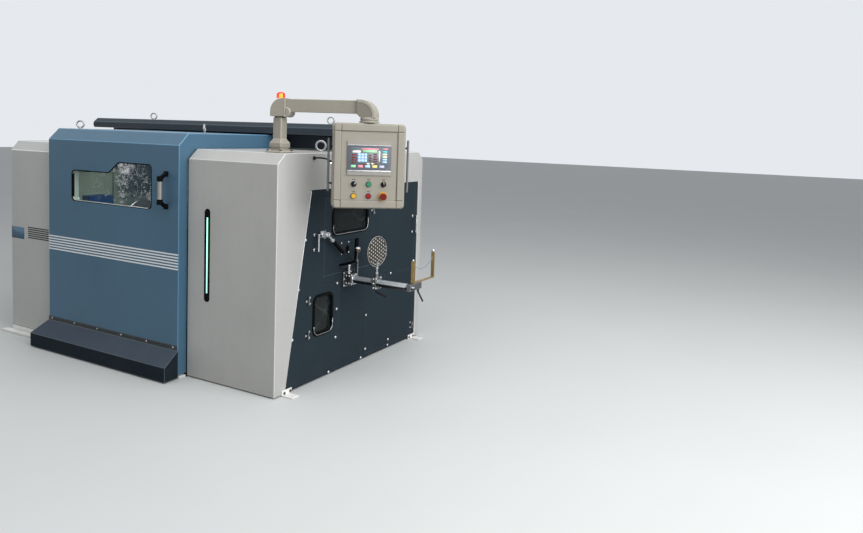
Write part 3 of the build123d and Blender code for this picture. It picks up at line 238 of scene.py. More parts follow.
def sheet_paint(name, colour, gloss=0.34, dust=0.08, wave=0.0012, shine=0.4, patch=None):
    """Paint on sheet metal: faint clouds and run marks, dust low down, orange peel and a soft waviness."""
    make = Finish(name)
    clouds = make.noise(1.7, 4)
    runs = make.noise(1.0, 5, make.stretched(16, 16, 0.9))
    specks = make.noise(42, 5, roughness=0.7)
    tone = clouds * 0.6 + runs * 0.2 + specks * 0.2
    paint = make.shades(make.ramp_up(tone, 0.3, 0.7), colour, 0.93, 1.06)
    if patch:
        paint = patch(make, paint)
    low = (1 - make.ramp_up(make.z, 0.0, 0.34)) * make.patches(0.35, 0.75, 7, 5)
    scuffs = make.patches(0.63, 0.75, 3.1, 9, make.stretched(1, 1, 2.2), 0.72)
    paint = make.mix(low * dust + scuffs * dust * 0.25, paint, DUST)
    rough = clouds * 0.12 + specks * 0.1 + low * 0.25 + (gloss - 0.1)
    waves = make.bump(make.noise(2.6, 1), wave)
    peel = make.bump(make.noise(520, 1), 0.00012, normal=waves)
    make.surface(Base_Color=paint, Roughness=rough, Normal=peel, Specular_IOR_Level=shine)


def bare_metal(name, colour, rough=0.28, grain=(4, 4, 220), stain=0.25, metallic=1.0):
    """Bare or plated metal, with fine marks along one direction."""
    make = Finish(name)
    lines = make.noise(1.0, 4, make.stretched(*grain), 0.6)
    blots = make.noise(24, 5, roughness=0.65)
    mask = make.ramp_up(blots, 0.42, 0.8)
    metal = make.shades(lines * 0.6 + blots * 0.4, colour, 0.78, 1.12)
    metal = make.mix(mask * stain, metal, lighter(colour, 0.4))
    rough = lines * 0.12 + mask * 0.22 + (rough - 0.06)
    normal = make.bump(lines, 0.0002, 0.6)
    make.surface(Base_Color=metal, Roughness=rough, Metallic=metallic, Normal=normal)


def moulded(name, colour, rough=0.42, dusty=0.2, coat=0.0, shine=0.5):
    """Moulded plastic with a fine grain, smeared with dust."""
    make = Finish(name)
    fine = make.noise(900, 2)
    smears = make.noise(18, 5, roughness=0.65)
    marked = make.mix(make.ramp_up(smears, 0.45, 0.8) * dusty, colour, DUST)
    rough = smears * 0.16 + fine * 0.05 + (rough - 0.1)
    normal = make.bump(fine, 0.0001, 0.7)
    make.surface(Base_Color=marked, Roughness=rough, Normal=normal, Coat_Weight=coat,
                 Specular_IOR_Level=shine)


def polished_tube(name, colour):
    """A polished tube, pale along its upper half as a painted highlight and dark below as painted shade."""
    make = Finish(name)
    streaks = make.noise(1.0, 4, make.stretched(5, 60, 60), 0.6)
    upper = make.step(make.z + streaks * 0.006, GUIDE_Z, 0.008)
    make.surface(Base_Color=make.shades(upper, colour, 0.07, 1.3), Roughness=streaks * 0.14 + 0.14,
                 Metallic=0.55)


def rubber(name):
    make = Finish(name)
    chalk = make.patches(0.5, 0.85, 30, 6, roughness=0.7)
    normal = make.bump(make.noise(700, 2), 0.00015)
    make.surface(Base_Color=make.mix(chalk * 0.3, RUBBER_BLACK, DUST), Roughness=chalk * 0.2 + 0.45,
                 Normal=normal)


def smoked_pane(name, colour, clear, film):
    """Glass that shows what is behind it, with a wiped film and thin curls in a painted highlight."""
    make = Finish(name)
    haze = make.patches(0.4, 0.72, 5.5, 8, make.stretched(1, 1, 1.6), 0.74)
    painted_highlight_curls = make.about_zero(make.noise(3.2, 1) - 0.5, 0.0012, 0.0042)
    shown = make.mix(painted_highlight_curls, make.shades(haze, colour, 1.0, 1.3), lighter(colour, 3.6))
    make.surface(Base_Color=shown, Roughness=haze * 0.16 + 0.03, Alpha=haze * film + (1 - clear),
                 Coat_Weight=0.1, Specular_IOR_Level=0.15)


def creased_pane(name, colour):
    """Clear sheet with smears and creases painted silver as glints, more of them in its upper inlet half."""
    make = Finish(name)
    region = make.ramp_up(make.x, -0.30, 0.04) * 0.6 + 0.4
    upper = make.ramp_up(make.noise(9, 5, roughness=0.62) + make.z * 0.45, 1.00, 1.14)
    fine = make.noise(24, 4, make.stretched(1, 1, 1.3), 0.62)
    creases = make.about_zero(fine - 0.5, 0.005, 0.017)
    beside_step = make.about_zero(make.x - SHEET_STEP_X, 0.05, 0.13)
    flakes = make.patches(0.42, 0.56, 16, 6, roughness=0.75)
    # Flakes along the top beside the step, painted glints
    painted_top_glint = make.ramp_up(make.z, 1.30, 1.35) * beside_step * flakes
    painted_glints = make.clamp((creases * upper + painted_top_glint * 0.8) * region)
    haze = make.patches(0.45, 0.75, 5.5, 6, roughness=0.7) * region
    cloud = make.patches(0.3, 0.65, 12, 6, roughness=0.7) * 0.25 + 0.4
    # Painted shade: a dark covering over the right part, less of it low down
    painted_shade = make.ramp_up(make.x, -0.10, 0.12) * cloud * (make.ramp_up(make.z, 1.14, 1.24) * 0.6 + 0.4)
    covering = make.clamp(painted_glints * 0.92 + painted_shade + region * 0.12)
    make.surface(Base_Color=make.mix(painted_glints, SHEET_PAINTED_SHADE, lighter(colour, 1.9)), Alpha=covering,
                 Roughness=haze * 0.2 + 0.06, Coat_Weight=0.2, Specular_IOR_Level=0.25,
                 Normal=make.bump(fine, 0.002, 0.35))


def glow(name, edge, core, strength, inner, axis_mask):
    """A lit lens: axis_mask gives 0 at its middle and 1 at its rim."""
    make = Finish(name)
    colour = make.mix(make.ramp_up(axis_mask(make), inner, 1.0), core, edge)
    make.surface(Base_Color=colour, Roughness=0.25, Emission_Color=colour, Emission_Strength=strength)


def lit_dome(name, colour):
    """A thin red dome that glows and lets its core shine through."""
    make = Finish(name)
    ribs = make.patches(0.35, 0.65, 1.0, 2, make.stretched(30, 30, 260))
    tone = make.shades(ribs, colour, 0.8, 1.0)
    make.surface(Base_Color=tone, Roughness=0.18, Alpha=ribs * 0.08 + 0.7, Emission_Color=tone,
                 Emission_Strength=0.85)


def printed(name, colour):
    make = Finish(name)
    worn = make.patches(0.35, 0.8, 60, 6, roughness=0.7)
    make.surface(Base_Color=make.shades(worn, colour, 1.0, 0.86), Roughness=worn * 0.1 + 0.38)


def display_field(name, colour):
    """A lit field of the display, a little uneven as a screen seen from afar."""
    make = Finish(name)
    shown = make.shades(make.patches(0.3, 0.7, 160, 4, roughness=0.7), colour, 0.85, 1.0)
    make.surface(Base_Color=shown, Roughness=0.2, Emission_Color=shown, Emission_Strength=0.55)


def pocket_painted_shade(make, paint):
    """Behind the windows and doors of the end panel the cabinet's inside is painted dark, a painted shade."""
    behind = 1 - make.step(make.x, POCKET_OUTER_X, 0.0006)
    inside = make.step(make.x, POCKET_INNER_X)
    between = 1 - make.step(abs(make.y), POCKET_HALF_Y, 0.0005)
    under = 1 - make.step(make.z, POCKET_HIGH_Z)
    above = make.step(make.z, POCKET_LOW_Z)
    shade = make.shades(make.noise(14, 5), POCKET_SHADE, 0.7, 1.5)
    return make.mix(behind * inside * between * under * above, paint, shade)


def chamber_liner(make, paint):
    """The rear housing's front face inside the chamber has the liner's colour."""
    front = 1 - make.step(make.y, CHAMBER_BACK_Y)
    low = 1 - make.step(make.z, CHAMBER_HIGH_Z, 0.002)
    return make.mix(front * low, paint, make.shades(make.noise(9, 6), LINER_GREEN, 0.8, 1.05))


# Paints of the cabinets; folds in a lighter tone of the same paint, a painted highlight
sheet_paint("steel_blue_paint", STEEL_BLUE)
sheet_paint("steel_blue_fold_highlight", lighter(STEEL_BLUE, 1.9), gloss=0.28)
sheet_paint("cabinet_white_paint", CABINET_WHITE, dust=0.12)
sheet_paint("cabinet_white_fold_highlight", lighter(CABINET_WHITE, 2.0), gloss=0.28)
sheet_paint("headstock_white_paint", HEAD_WHITE, dust=0.12, patch=pocket_painted_shade)
sheet_paint("headstock_white_fold_highlight", lighter(HEAD_WHITE, 1.4), gloss=0.28, patch=pocket_painted_shade)
sheet_paint("slate_paint", SLATE, gloss=0.62, dust=0.03, shine=0.04)
sheet_paint("slate_fold_highlight", lighter(SLATE, 2.2), gloss=0.3, dust=0.05)
sheet_paint("dark_slate_paint", tint(34, 43, 50), gloss=0.62, dust=0.04, shine=0.04)
sheet_paint("kick_slate_paint", tint(69, 79, 91), gloss=0.6, dust=0.06, shine=0.06)
sheet_paint("hood_slate_paint", tint(50, 58, 66), gloss=0.42, shine=0.2, patch=chamber_liner)
sheet_paint("foot_white_paint", tint(238, 238, 235), dust=0.2, wave=0.0)
sheet_paint("cradle_blue_paint", tint(44, 84, 140))
sheet_paint("liner_green_paint", LINER_GREEN, gloss=0.5, dust=0.1)
sheet_paint("liner_pale_paint", tint(176, 192, 178), gloss=0.5, dust=0.1)
sheet_paint("reel_grey_paint", tint(112, 116, 116), gloss=0.3, dust=0.1)
sheet_paint("arm_beige_paint", ARM_BEIGE, gloss=0.4, dust=0.04, wave=0.0)
sheet_paint("arm_beige_fold_highlight", lighter(ARM_BEIGE, 1.25), gloss=0.36, dust=0.04, wave=0.0)
# The elbow's cheeks in a darker tone of the arm's paint, a painted shade
sheet_paint("arm_cheek_painted_shade", lighter(ARM_BEIGE, 0.72), gloss=0.42, dust=0.04, wave=0.0)
sheet_paint("rod_grey_paint", tint(112, 114, 118), gloss=0.4, dust=0.04, wave=0.0)

# Metals; a grain that is the same in all directions suits small parts
EVEN_GRAIN = (60, 60, 60)
bare_metal("machined_steel", BARE_STEEL, 0.34)
bare_metal("dark_steel", lighter(BARE_STEEL, 0.45), 0.3, stain=0.3)
bare_metal("plated_chrome", tint(215, 216, 218), 0.16, stain=0.12)
# The disc's sheet is dark brown, partly its own colour and partly painted shade
bare_metal("disc_sheet", tint(54, 48, 40), 0.45, stain=0.3, metallic=0.2)
bare_metal("disc_eyelet", tint(206, 206, 202), 0.4, EVEN_GRAIN, stain=0.2, metallic=0.4)
bare_metal("yellow_zinc", tint(176, 150, 96), 0.36, stain=0.3)
bare_metal("brass_ball", tint(128, 112, 92), 0.2, stain=0.2)
bare_metal("bright_zinc_bolt", tint(242, 243, 243), 0.4, EVEN_GRAIN, stain=0.05, metallic=0.3)
bare_metal("zinc_bolt", BARE_STEEL, 0.3, EVEN_GRAIN, stain=0.2)
bare_metal("grip_sleeve", tint(150, 146, 138), 0.4, (90, 90, 6), stain=0.15, metallic=0.35)
bare_metal("bezel_grey", tint(150, 147, 140), 0.4, (200, 200, 4), stain=0.1, metallic=0.4)
polished_tube("polished_tube", tint(176, 181, 186))

# Plastics, rubber and panes
moulded("seam_shadow", tint(92, 89, 80), 0.6, dusty=0.3)
moulded("black_oxide_bolt", PLASTIC_BLACK, 0.4, dusty=0.15)
moulded("black_moulding", PLASTIC_BLACK, 0.4, dusty=0.06, shine=0.25)
moulded("deep_black_moulding", tint(7, 7, 8), 0.55, dusty=0.01, shine=0.06)
moulded("display_frame", tint(82, 87, 98), 0.22, dusty=0.06, coat=0.4)
moulded("green_cap", tint(20, 130, 90), 0.25, dusty=0.06, coat=0.5)
moulded("yellow_cap", tint(222, 170, 36), 0.25, dusty=0.04, coat=0.25)
moulded("red_cap", tint(150, 14, 22), 0.25, dusty=0.03, coat=0.15, shine=0.3)
moulded("mushroom_red", tint(108, 11, 13), 0.3, dusty=0.03, coat=0.12, shine=0.25)
moulded("stop_ring_yellow", tint(206, 150, 30), 0.34, dusty=0.1)
rubber("black_rubber")
creased_pane("cover_pane", tint(196, 208, 204))
smoked_pane("smoked_pane", tint(30, 35, 35), 0.35, 0.08)

# Prints and lit parts
printed("white_stripe_vinyl", tint(250, 252, 253))
printed("black_stripe_vinyl", tint(12, 12, 14))
printed("blue_patch_vinyl", STEEL_BLUE)
glow("signal_lens", tint(30, 225, 140), tint(190, 255, 240), 1.1, 0.25,
     lambda make: abs(make.x - SIGNAL_X) / SIGNAL_HALF)
glow("beacon_core", LAMP_RED, tint(255, 190, 60), 5.0, 0.55,
     lambda make: abs(make.z - BEACON_WAIST) / BEACON_HALF)
glow("lamp_lens", LAMP_WHITE, LAMP_WHITE, 6.0, 0.5, lambda make: make.noise(90, 2))
lit_dome("beacon_dome", LAMP_RED)
for field, parts in DISPLAY_COLOURS.items():
    display_field("display_" + field, tint(*parts))

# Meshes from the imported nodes, from mesh code and from Geometry Nodes, always with their place in the mesh
BODIES = frame["record"]["behaviour"]["bodies"]
BODY_OF = {node: body for body, nodes in BODIES.items() for node in nodes}
BEVEL_ANGLE = math.radians(30)


def new_piece(name, mesh):
    piece = bpy.data.objects.new(name, mesh)
    bpy.context.scene.collection.objects.link(piece)
    return piece


def baked(piece):
    """Applies the piece's modifiers to its mesh and removes them."""
    bpy.context.view_layer.update()
    result = bpy.data.meshes.new_from_object(piece.evaluated_get(bpy.context.evaluated_depsgraph_get()))
    piece.modifiers.clear()
    piece.data = result
    return piece


def rounded(piece, width, segments, edge_slot=-1):
    """Rounds the sharp edges and keeps large faces flat in the light. The roundings take the finish in
    edge_slot; -1 leaves them the finish of their faces."""
    for face in piece.data.polygons:
        face.use_smooth = True
    bevel = piece.modifiers.new("edges", "BEVEL")
    bevel.width = width
    bevel.segments = segments
    bevel.limit_method = "ANGLE"
    bevel.angle_limit = BEVEL_ANGLE
    bevel.use_clamp_overlap = False
    bevel.material = edge_slot
    facing = piece.modifiers.new("facing", "WEIGHTED_NORMAL")
    facing.mode = "FACE_AREA"
    facing.weight = 100
    facing.keep_sharp = False
    return baked(piece)


def settle(piece, slot, replaced=()):
    """A piece rides on the body of its slot's node and stands for the replaced nodes."""
    body = BODY_OF[slot]
    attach(piece, body)
    if replaced:
        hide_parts(*replaced)
    return piece


def dress(node, finish, edge=0.0015, edge_finish=None, segments=3, zones=()):
    """A node's mesh, merged, with rounded edges and its finish. A zone is a test of a face's centre and
    the finish of the faces that pass it."""
    mesh = frame["nodes"][node].data.copy()
    work = bmesh.new()
    work.from_mesh(mesh)
    bmesh.ops.remove_doubles(work, verts=work.verts, dist=1e-5)
    bmesh.ops.dissolve_limit(work, angle_limit=math.radians(0.4), verts=work.verts, edges=work.edges)
    work.to_mesh(mesh)
    work.free()
    mesh.materials.clear()
    for key in (finish, edge_finish or finish, *(zone_finish for _, zone_finish in zones)):
        mesh.materials.append(MATERIALS[key])
    for face in mesh.polygons:
        face.material_index = 0
        for index, (inside, _) in enumerate(zones):
            if inside(face.center):
                face.material_index = index + 2
    piece = rounded(new_piece(node + "_skin", mesh), edge, segments, 1 if edge_finish else -1)
    return settle(piece, node, (node,))


class Form:
    """Closed forms gathered into one mesh; numbers are metres in the place's own frame."""

    def __init__(self, place=None):
        self.work = bmesh.new()
        self.place = place or Matrix()

    def _own(self, faces, slot):
        for face in faces:
            face.material_index = slot
            face.smooth = True
        return self

    def _own_made(self, made, slot):
        return self._own({face for vert in made["verts"] for face in vert.link_faces}, slot)

    def box(self, low, high, slot=0, turn=None):
        low, high = Vector(low), Vector(high)
        size = Matrix.Diagonal((*(high - low), 1.0))
        spot = Matrix.Translation((low + high) / 2) @ size
        made = bmesh.ops.create_cube(self.work, size=1.0, matrix=spot)
        if turn:
            bmesh.ops.transform(self.work, matrix=turn, verts=made["verts"])
        return self._own_made(made, slot)

    def rod(self, start, end, radius, slot=0, sides=24, tip=None):
        start, end = Vector(start), Vector(end)
        along = end - start
        turn = along.to_track_quat("Z", "Y").to_matrix().to_4x4()
        spot = Matrix.Translation((start + end) / 2) @ turn
        made = bmesh.ops.create_cone(self.work, cap_ends=True, segments=sides, radius1=radius,
                                     radius2=tip or radius, depth=along.length, matrix=spot)
        return self._own_made(made, slot)

    def ball(self, centre, radius):
        spot = Matrix.Translation(centre)
        made = bmesh.ops.create_uvsphere(self.work, u_segments=28, v_segments=16, radius=radius, matrix=spot)
        return self._own_made(made, 0)

    def lathe(self, start, direction, profile, slot=0, sides=32, ring=False):
        """Turns (distance along, radius) points about an axis. A ring joins its last point to its first."""
        turn = Vector(direction).to_track_quat("Z", "Y").to_matrix()
        rings = []
        for along, radius in profile:
            loop = []
            for step in range(sides if radius > 0 else 1):
                angle = 2 * math.pi * step / sides
                spot = Vector((radius * math.cos(angle), radius * math.sin(angle), along))
                loop.append(self.work.verts.new(Vector(start) + turn @ spot))
            rings.append(loop)
        return self._skin(rings + rings[:1] if ring else rings, slot)

    def stud(self, start, direction, radius, shoulder, tip, top, sides=32):
        """A round stud of one radius up to its shoulder, narrowing to its tip's radius at its top."""
        profile = [(0, 0), (0, radius), (shoulder, radius), (top, tip), (top, 0)]
        return self.lathe(start, direction, profile, sides=sides)

    def collar(self, start, direction, foot, inner, outer, shoulder, rim, top):
        """A ring from foot to top, straight up to its shoulder and narrowing to its rim's radius."""
        profile = [(foot, inner), (foot, outer), (shoulder, outer), (top, rim), (top, inner)]
        return self.lathe(start, direction, profile, ring=True)

    def _skin(self, rings, slot):
        faces = []
        for first, second in zip(rings, rings[1:]):
            count = max(len(first), len(second))
            for step in range(count):
                after = (step + 1) % count
                corners = [first[step % len(first)], first[after % len(first)],
                           second[after % len(second)], second[step % len(second)]]
                corners = list(dict.fromkeys(corners))
                if len(corners) > 2:
                    faces.append(self.work.faces.new(corners))
        return self._own(faces, slot)

    def sweep(self, points, radius, sides=16):
        """A round bar along points, its ends closed."""
        path = [Vector(point) for point in points]
        rings = []
        side = None
        for index, point in enumerate(path):
            ahead = (path[min(index + 1, len(path) - 1)] - path[max(index - 1, 0)]).normalized()
            side = ahead.orthogonal() if side is None else side - ahead * side.dot(ahead)
            side.normalize()
            other = ahead.cross(side)
            turns = [2 * math.pi * step / sides for step in range(sides)]
            spots = [point + radius * (math.cos(angle) * side + math.sin(angle) * other) for angle in turns]
            rings.append([self.work.verts.new(spot) for spot in spots])
        self._skin(rings, 0)
        return self._own([self.work.faces.new(rings[0]), self.work.faces.new(rings[-1])], 0)

    def prism(self, outline, shift):
        """A flat outline of 3-D points pushed along a shift."""
        near = [self.work.verts.new(Vector(point)) for point in outline]
        far = [self.work.verts.new(Vector(point) + Vector(shift)) for point in outline]
        self._own([self.work.faces.new(near), self.work.faces.new(far)], 0)
        return self._skin([near, far], 0)

    def piece(self, name, slot, *finishes, edge=0.0, replaced=(), segments=2):
        bmesh.ops.recalc_face_normals(self.work, faces=self.work.faces)
        self.work.transform(self.place)
        mesh = bpy.data.meshes.new(name)
        self.work.to_mesh(mesh)
        self.work.free()
        for key in finishes:
            mesh.materials.append(MATERIALS[key])
        made = new_piece(name, mesh)
        if edge:
            rounded(made, edge, segments)
        return settle(made, slot, replaced)


def boxes(name, slot, finish, spans, place=None, **options):
    """A piece of plain boxes, each from its low to its high corner."""
    form = Form(place)
    for low, high in spans:
        form.box(low, high)
    form.piece(name, slot, finish, **options)


def curve_through(points, steps):
    """Points along a smooth line through the given ones."""
    spots = [Vector(point) for point in points]
    spots = [2 * spots[0] - spots[1]] + spots + [2 * spots[-1] - spots[-2]]
    line = []
    for before, first, second, after in zip(spots, spots[1:], spots[2:], spots[3:]):
        for step in range(steps):
            t = step / steps
            square = (2 * before - 5 * first + 4 * second - after) * t ** 2
            cube = (3 * first - before - 3 * second + after) * t ** 3
            line.append(0.5 * (2 * first + (second - before) * t + square + cube))
    line.append(spots[-2])
    return line


def arc(radius, first, last, steps):
    """Pairs of offsets along a circle's arc, from the first angle to the last in degrees."""
    angles = [math.radians(first + (last - first) * step / steps) for step in range(steps + 1)]
    return [(radius * math.cos(angle), radius * math.sin(angle)) for angle in angles]


class Growth(Tree):
    """A geometry node tree with named sizes, grown once on some points and kept as a plain mesh."""

    def __init__(self, name, **sizes):
        self.group = bpy.data.node_groups.new(name, "GeometryNodeTree")
        sockets = self.group.interface
        sockets.new_socket("Geometry", in_out="INPUT", socket_type="NodeSocketGeometry")
        for label, kind in sizes.items():
            sockets.new_socket(label, in_out="INPUT", socket_type="NodeSocket" + kind)
        sockets.new_socket("Geometry", in_out="OUTPUT", socket_type="NodeSocketGeometry")
        super().__init__(self.group)
        source = self.nodes.new("NodeGroupInput")
        self.given = [Value(self, socket) for socket in source.outputs if socket.name]

    def geometry(self, kind, settings=None, **inputs):
        """A geometry node; words in an input's name are joined by _ here."""
        inputs = {label.replace("_", " "): value for label, value in inputs.items()}
        return self.add("GeometryNode" + kind, settings, inputs)

    def circle(self, sides, radius):
        return self.geometry("CurvePrimitiveCircle", Resolution=sides, Radius=radius)

    def bar(self, path, profile):
        return self.geometry("CurveToMesh", Curve=path, Profile_Curve=profile)

    def on_points(self, shape, points=None, **turn):
        """The shape on each point, made real."""
        placed = self.geometry("InstanceOnPoints", Points=points or self.given[0], Instance=shape, **turn)
        return self.geometry("RealizeInstances", Geometry=placed)

    def finished(self, shape, finish):
        return self.geometry("SetMaterial", Geometry=shape, Material=MATERIALS[finish])

    def joined(self, *shapes):
        join = self.nodes.new("GeometryNodeJoinGeometry")
        for shape in shapes:
            self.links.new(shape.socket, join.inputs[0])
        return Value(self, join.outputs[0])

    def ends_in(self, *shapes):
        sink = self.nodes.new("NodeGroupOutput")
        self.links.new(self.joined(*shapes).socket, sink.inputs[0])
        return self

    def grow(self, name, slot, points, edges=(), replaced=(), **sizes):
        mesh = bpy.data.meshes.new(name)
        mesh.from_pydata([tuple(point) for point in points], list(edges), [])
        made = new_piece(name, mesh)
        growth = made.modifiers.new("growth", "NODES")
        growth.node_group = self.group
        for item in self.group.interface.items_tree:
            if item.in_out == "INPUT" and item.name in sizes:
                growth[item.identifier] = sizes[item.name]
        return settle(baked(made), slot, replaced)


def screw_growth(name, head, recess):
    """Domed screw heads with a six-sided recess."""
    tree = Growth(name, HeadRadius="Float", HeadHeight="Float", RecessRadius="Float", Turn="Vector")
    _, radius, height, well, turn = tree.given
    parts = []
    for sides, top, foot, depth, finish in ((16, radius * 0.7, radius, height, head),
                                            (6, well, well, height * 1.04, recess)):
        cone = tree.geometry("MeshCone", {"fill_type": "NGON"}, Vertices=sides, Radius_Top=top,
                             Radius_Bottom=foot, Depth=depth)
        parts.append(tree.finished(tree.on_points(cone, Rotation=turn), finish))
    return tree.ends_in(*parts)


def bar_growth(name, finish):
    """Equal flat bars, one above the other, from each point."""
    tree = Growth(name, Length="Float", Height="Float", Depth="Float", Pitch="Float", Count="Int")
    _, length, height, depth, pitch, count = tree.given
    size = tree.add("ShaderNodeCombineXYZ", inputs={"X": length, "Y": depth, "Z": height})
    step = tree.add("ShaderNodeCombineXYZ", inputs={"Z": pitch})
    column = tree.geometry("MeshLine", Count=count, Offset=step)
    stack = tree.on_points(tree.geometry("MeshCube", Size=size), column)
    return tree.ends_in(tree.finished(tree.on_points(stack), finish))


def perforated_growth(name, sheet, eyelet):
    """A round sheet with a hole and an eyelet at every point, laid out flat and then placed."""
    tree = Growth(name, Radius="Float", HoleRadius="Float", Thickness="Float", Place="Vector", Turn="Vector")
    _, radius, hole_radius, thickness, place, turn = tree.given
    rim = tree.circle(96, radius)
    hole = tree.circle(14, hole_radius)
    face = tree.geometry("FillCurve", Curve=tree.joined(rim, tree.on_points(hole)))
    walls = tree.geometry("ExtrudeMesh", Mesh=face, Offset_Scale=thickness, Individual=False)
    shell = tree.joined(walls, tree.geometry("FlipFaces", Mesh=face))
    whole = tree.geometry("MergeByDistance", Geometry=shell)
    collar = tree.bar(hole, tree.circle(7, hole_radius * 0.48))
    lip = tree.bar(rim, tree.circle(8, thickness * 0.8))
    parts = [tree.finished(whole, sheet), tree.finished(lip, eyelet),
             tree.finished(tree.on_points(collar), eyelet)]
    return tree.ends_in(*(
        tree.geometry("Transform", Geometry=part, Translation=place, Rotation=turn) for part in parts))


def chain_growth(name, finish):
    """Oval links along a path, each turned a quarter from the one before."""
    tree = Growth(name, Pitch="Float", LinkRadius="Float", Wire="Float")
    points, pitch, link_radius, wire = tree.given
    path = tree.geometry("MeshToCurve", Mesh=points)
    spots = tree.geometry("CurveToPoints", {"mode": "LENGTH"}, Curve=path, Length=pitch)
    tangent = Value(tree, tree.nodes[-1].outputs["Tangent"])
    oval = tree.geometry("Transform", Geometry=tree.circle(14, link_radius), Scale=(1.5, 0.9, 1.0))
    link = tree.bar(oval, tree.circle(6, wire))
    odd = tree.math("MODULO", tree.geometry("InputIndex"), 2.0)
    along = tree.add("FunctionNodeAlignRotationToVector", {"axis": "X"}, {"Vector": tangent})
    quarter = {"Axis": (1, 0, 0), "Angle": odd * (math.pi / 2)}
    roll = tree.add("FunctionNodeAxisAngleToRotation", inputs=quarter)
    turned = tree.add("FunctionNodeRotateRotation", {"rotation_space": "LOCAL"},
                      {"Rotation": along, "Rotate By": roll})
    return tree.ends_in(tree.finished(tree.on_points(link, spots, Rotation=turned), finish))


# Camera
camera_data = bpy.data.cameras.new("photo_camera")
camera_data.sensor_width = SENSOR_MM
camera_data.sensor_fit = "HORIZONTAL"
camera_data.lens = FOCAL_PIXELS / PHOTO_WIDTH * SENSOR_MM
camera_data.shift_y = (OPTICAL_ROW - PHOTO_HEIGHT / 2) / PHOTO_WIDTH
camera = new_piece("photo_camera", camera_data)
camera_turn = Matrix.Rotation(YAW, 4, "Z") @ Matrix.Rotation(-PITCH_DOWN, 4, "X")
camera_turn = camera_turn @ Matrix.Rotation(-ROLL, 4, "Y") @ Matrix.Rotation(math.pi / 2, 4, "X")
camera.matrix_world = Matrix.Translation(EYE) @ camera_turn
bpy.context.scene.camera = camera
bpy.context.scene.view_settings.view_transform = "Standard"


def soft_light(name, place, target, size, power):
    data = bpy.data.lights.new(name, "AREA")
    data.shape = "RECTANGLE"
    data.size, data.size_y = size
    data.energy = power
    aim = (Vector(target) - Vector(place)).to_track_quat("-Z", "Y").to_matrix().to_4x4()
    new_piece(name, data).matrix_world = Matrix.Translation(place) @ aim


MIDDLE = (0.2, 0.0, 0.8)
soft_light("roof_light", (1.2, -1.0, 6.0), MIDDLE, (7.0, 5.0), 152)
soft_light("inlet_side_light", (6.5, -1.5, 3.6), MIDDLE, (7.0, 6.0), 450)
soft_light("front_light", (-1.5, -7.0, 3.0), MIDDLE, (5.0, 3.0), 46)
soft_light("chamber_light", (0.0, -0.55, 1.5), (0.0, -0.3, 0.9), (0.9, 0.3), 5)


def seen_ray(tree):
    """1 for rays that see the surroundings: from the camera, off gloss and through glass."""
    ray = tree.nodes.new("ShaderNodeLightPath")
    camera_ray, gloss_ray, glass_ray = (Value(tree, ray.outputs[label]) for label in (
        "Is Camera Ray", "Is Glossy Ray", "Is Transmission Ray"))
    return tree.math("MAXIMUM", tree.math("MAXIMUM", camera_ray, gloss_ray), glass_ray)


# World
world = bpy.data.worlds.new("studio")
world.use_nodes = True
world.node_tree.nodes.clear()
sky = Tree(world.node_tree)
strength = sky.add("ShaderNodeMix", {"data_type": "FLOAT"}, {0: seen_ray(sky), 2: 0.32, 3: 0.85})
surround = sky.add("ShaderNodeBackground", inputs={"Color": (0.93, 0.96, 1.0, 1.0), "Strength": strength})
sky.add("ShaderNodeOutputWorld", inputs={"Surface": surround})
bpy.context.scene.world = world

# Floor
FLOOR_HALF = 40
floor_mesh = bpy.data.meshes.new("studio_floor")
floor_corners = [(x * FLOOR_HALF, y * FLOOR_HALF, 0) for x, y in ((-1, -1), (1, -1), (1, 1), (-1, 1))]
floor_mesh.from_pydata(floor_corners, [], [(0, 1, 2, 3)])
floor = new_piece("studio_floor", floor_mesh)
floor_paint = Finish("pale_floor")
floor_seen = floor_paint.shades(floor_paint.noise(0.8, 3), FLOOR_PALE, 0.96, 1.04)
floor_colour = floor_paint.mix(seen_ray(floor_paint), FLOOR_BOUNCE, floor_seen)
floor_paint.surface(Base_Color=floor_colour, Roughness=0.6)
floor_mesh.materials.append(MATERIALS["pale_floor"])

# Turns of screws by the way they face, and directions of turned forms
FACING_END = (0.0, math.pi / 2, 0.0)
FACING_FRONT = (math.pi / 2, 0.0, 0.0)
FACING_UP = (0.0, 0.0, 0.0)
UP = (0, 0, 1)
TO_END = (1, 0, 0)
TO_TAIL = (-1, 0, 0)
TO_FRONT = (0, -1, 0)

# Corners of the nodes that the pieces are set against
HEAD_LOW, HEAD_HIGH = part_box("headstock_cabinet")
TAIL_LOW, TAIL_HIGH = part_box("tailstock_cabinet")
COVER_LOW, COVER_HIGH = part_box("front_cover")
PANEL_LOW, PANEL_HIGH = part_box("end_panel")
PANEL_FACE = PANEL_HIGH.x
SLANT_TOP_Y = -0.547
COVER_FACE = COVER_LOW.y

zinc_screws = screw_growth("hex_screws", "zinc_bolt", "black_oxide_bolt")
bright_screws = screw_growth("bright_screws", "bright_zinc_bolt", "zinc_bolt")
black_screws = screw_growth("black_screws", "black_oxide_bolt", "seam_shadow")
dark_plugs = screw_growth("dark_plugs", "deep_black_moulding", "deep_black_moulding")


def screws(growth, name, slot, points, turn, radius, height):
    growth.grow(name, slot, points, HeadRadius=radius, HeadHeight=height, RecessRadius=radius * 0.45,
                Turn=turn)


def end_screws(name, slot, x, spots, radius=0.0085, height=0.0028, growth=bright_screws):
    """Screws that face the inlet end, at (y, z) spots of the plane at x."""
    screws(growth, name, slot, [(x, y, z) for y, z in spots], FACING_END, radius, height)


def crossed(firsts, seconds):
    """Every pair of a first and a second."""
    return [(first, second) for first in firsts for second in seconds]


# Cabinets, rails and feet
FOOT_TOP = 0.008


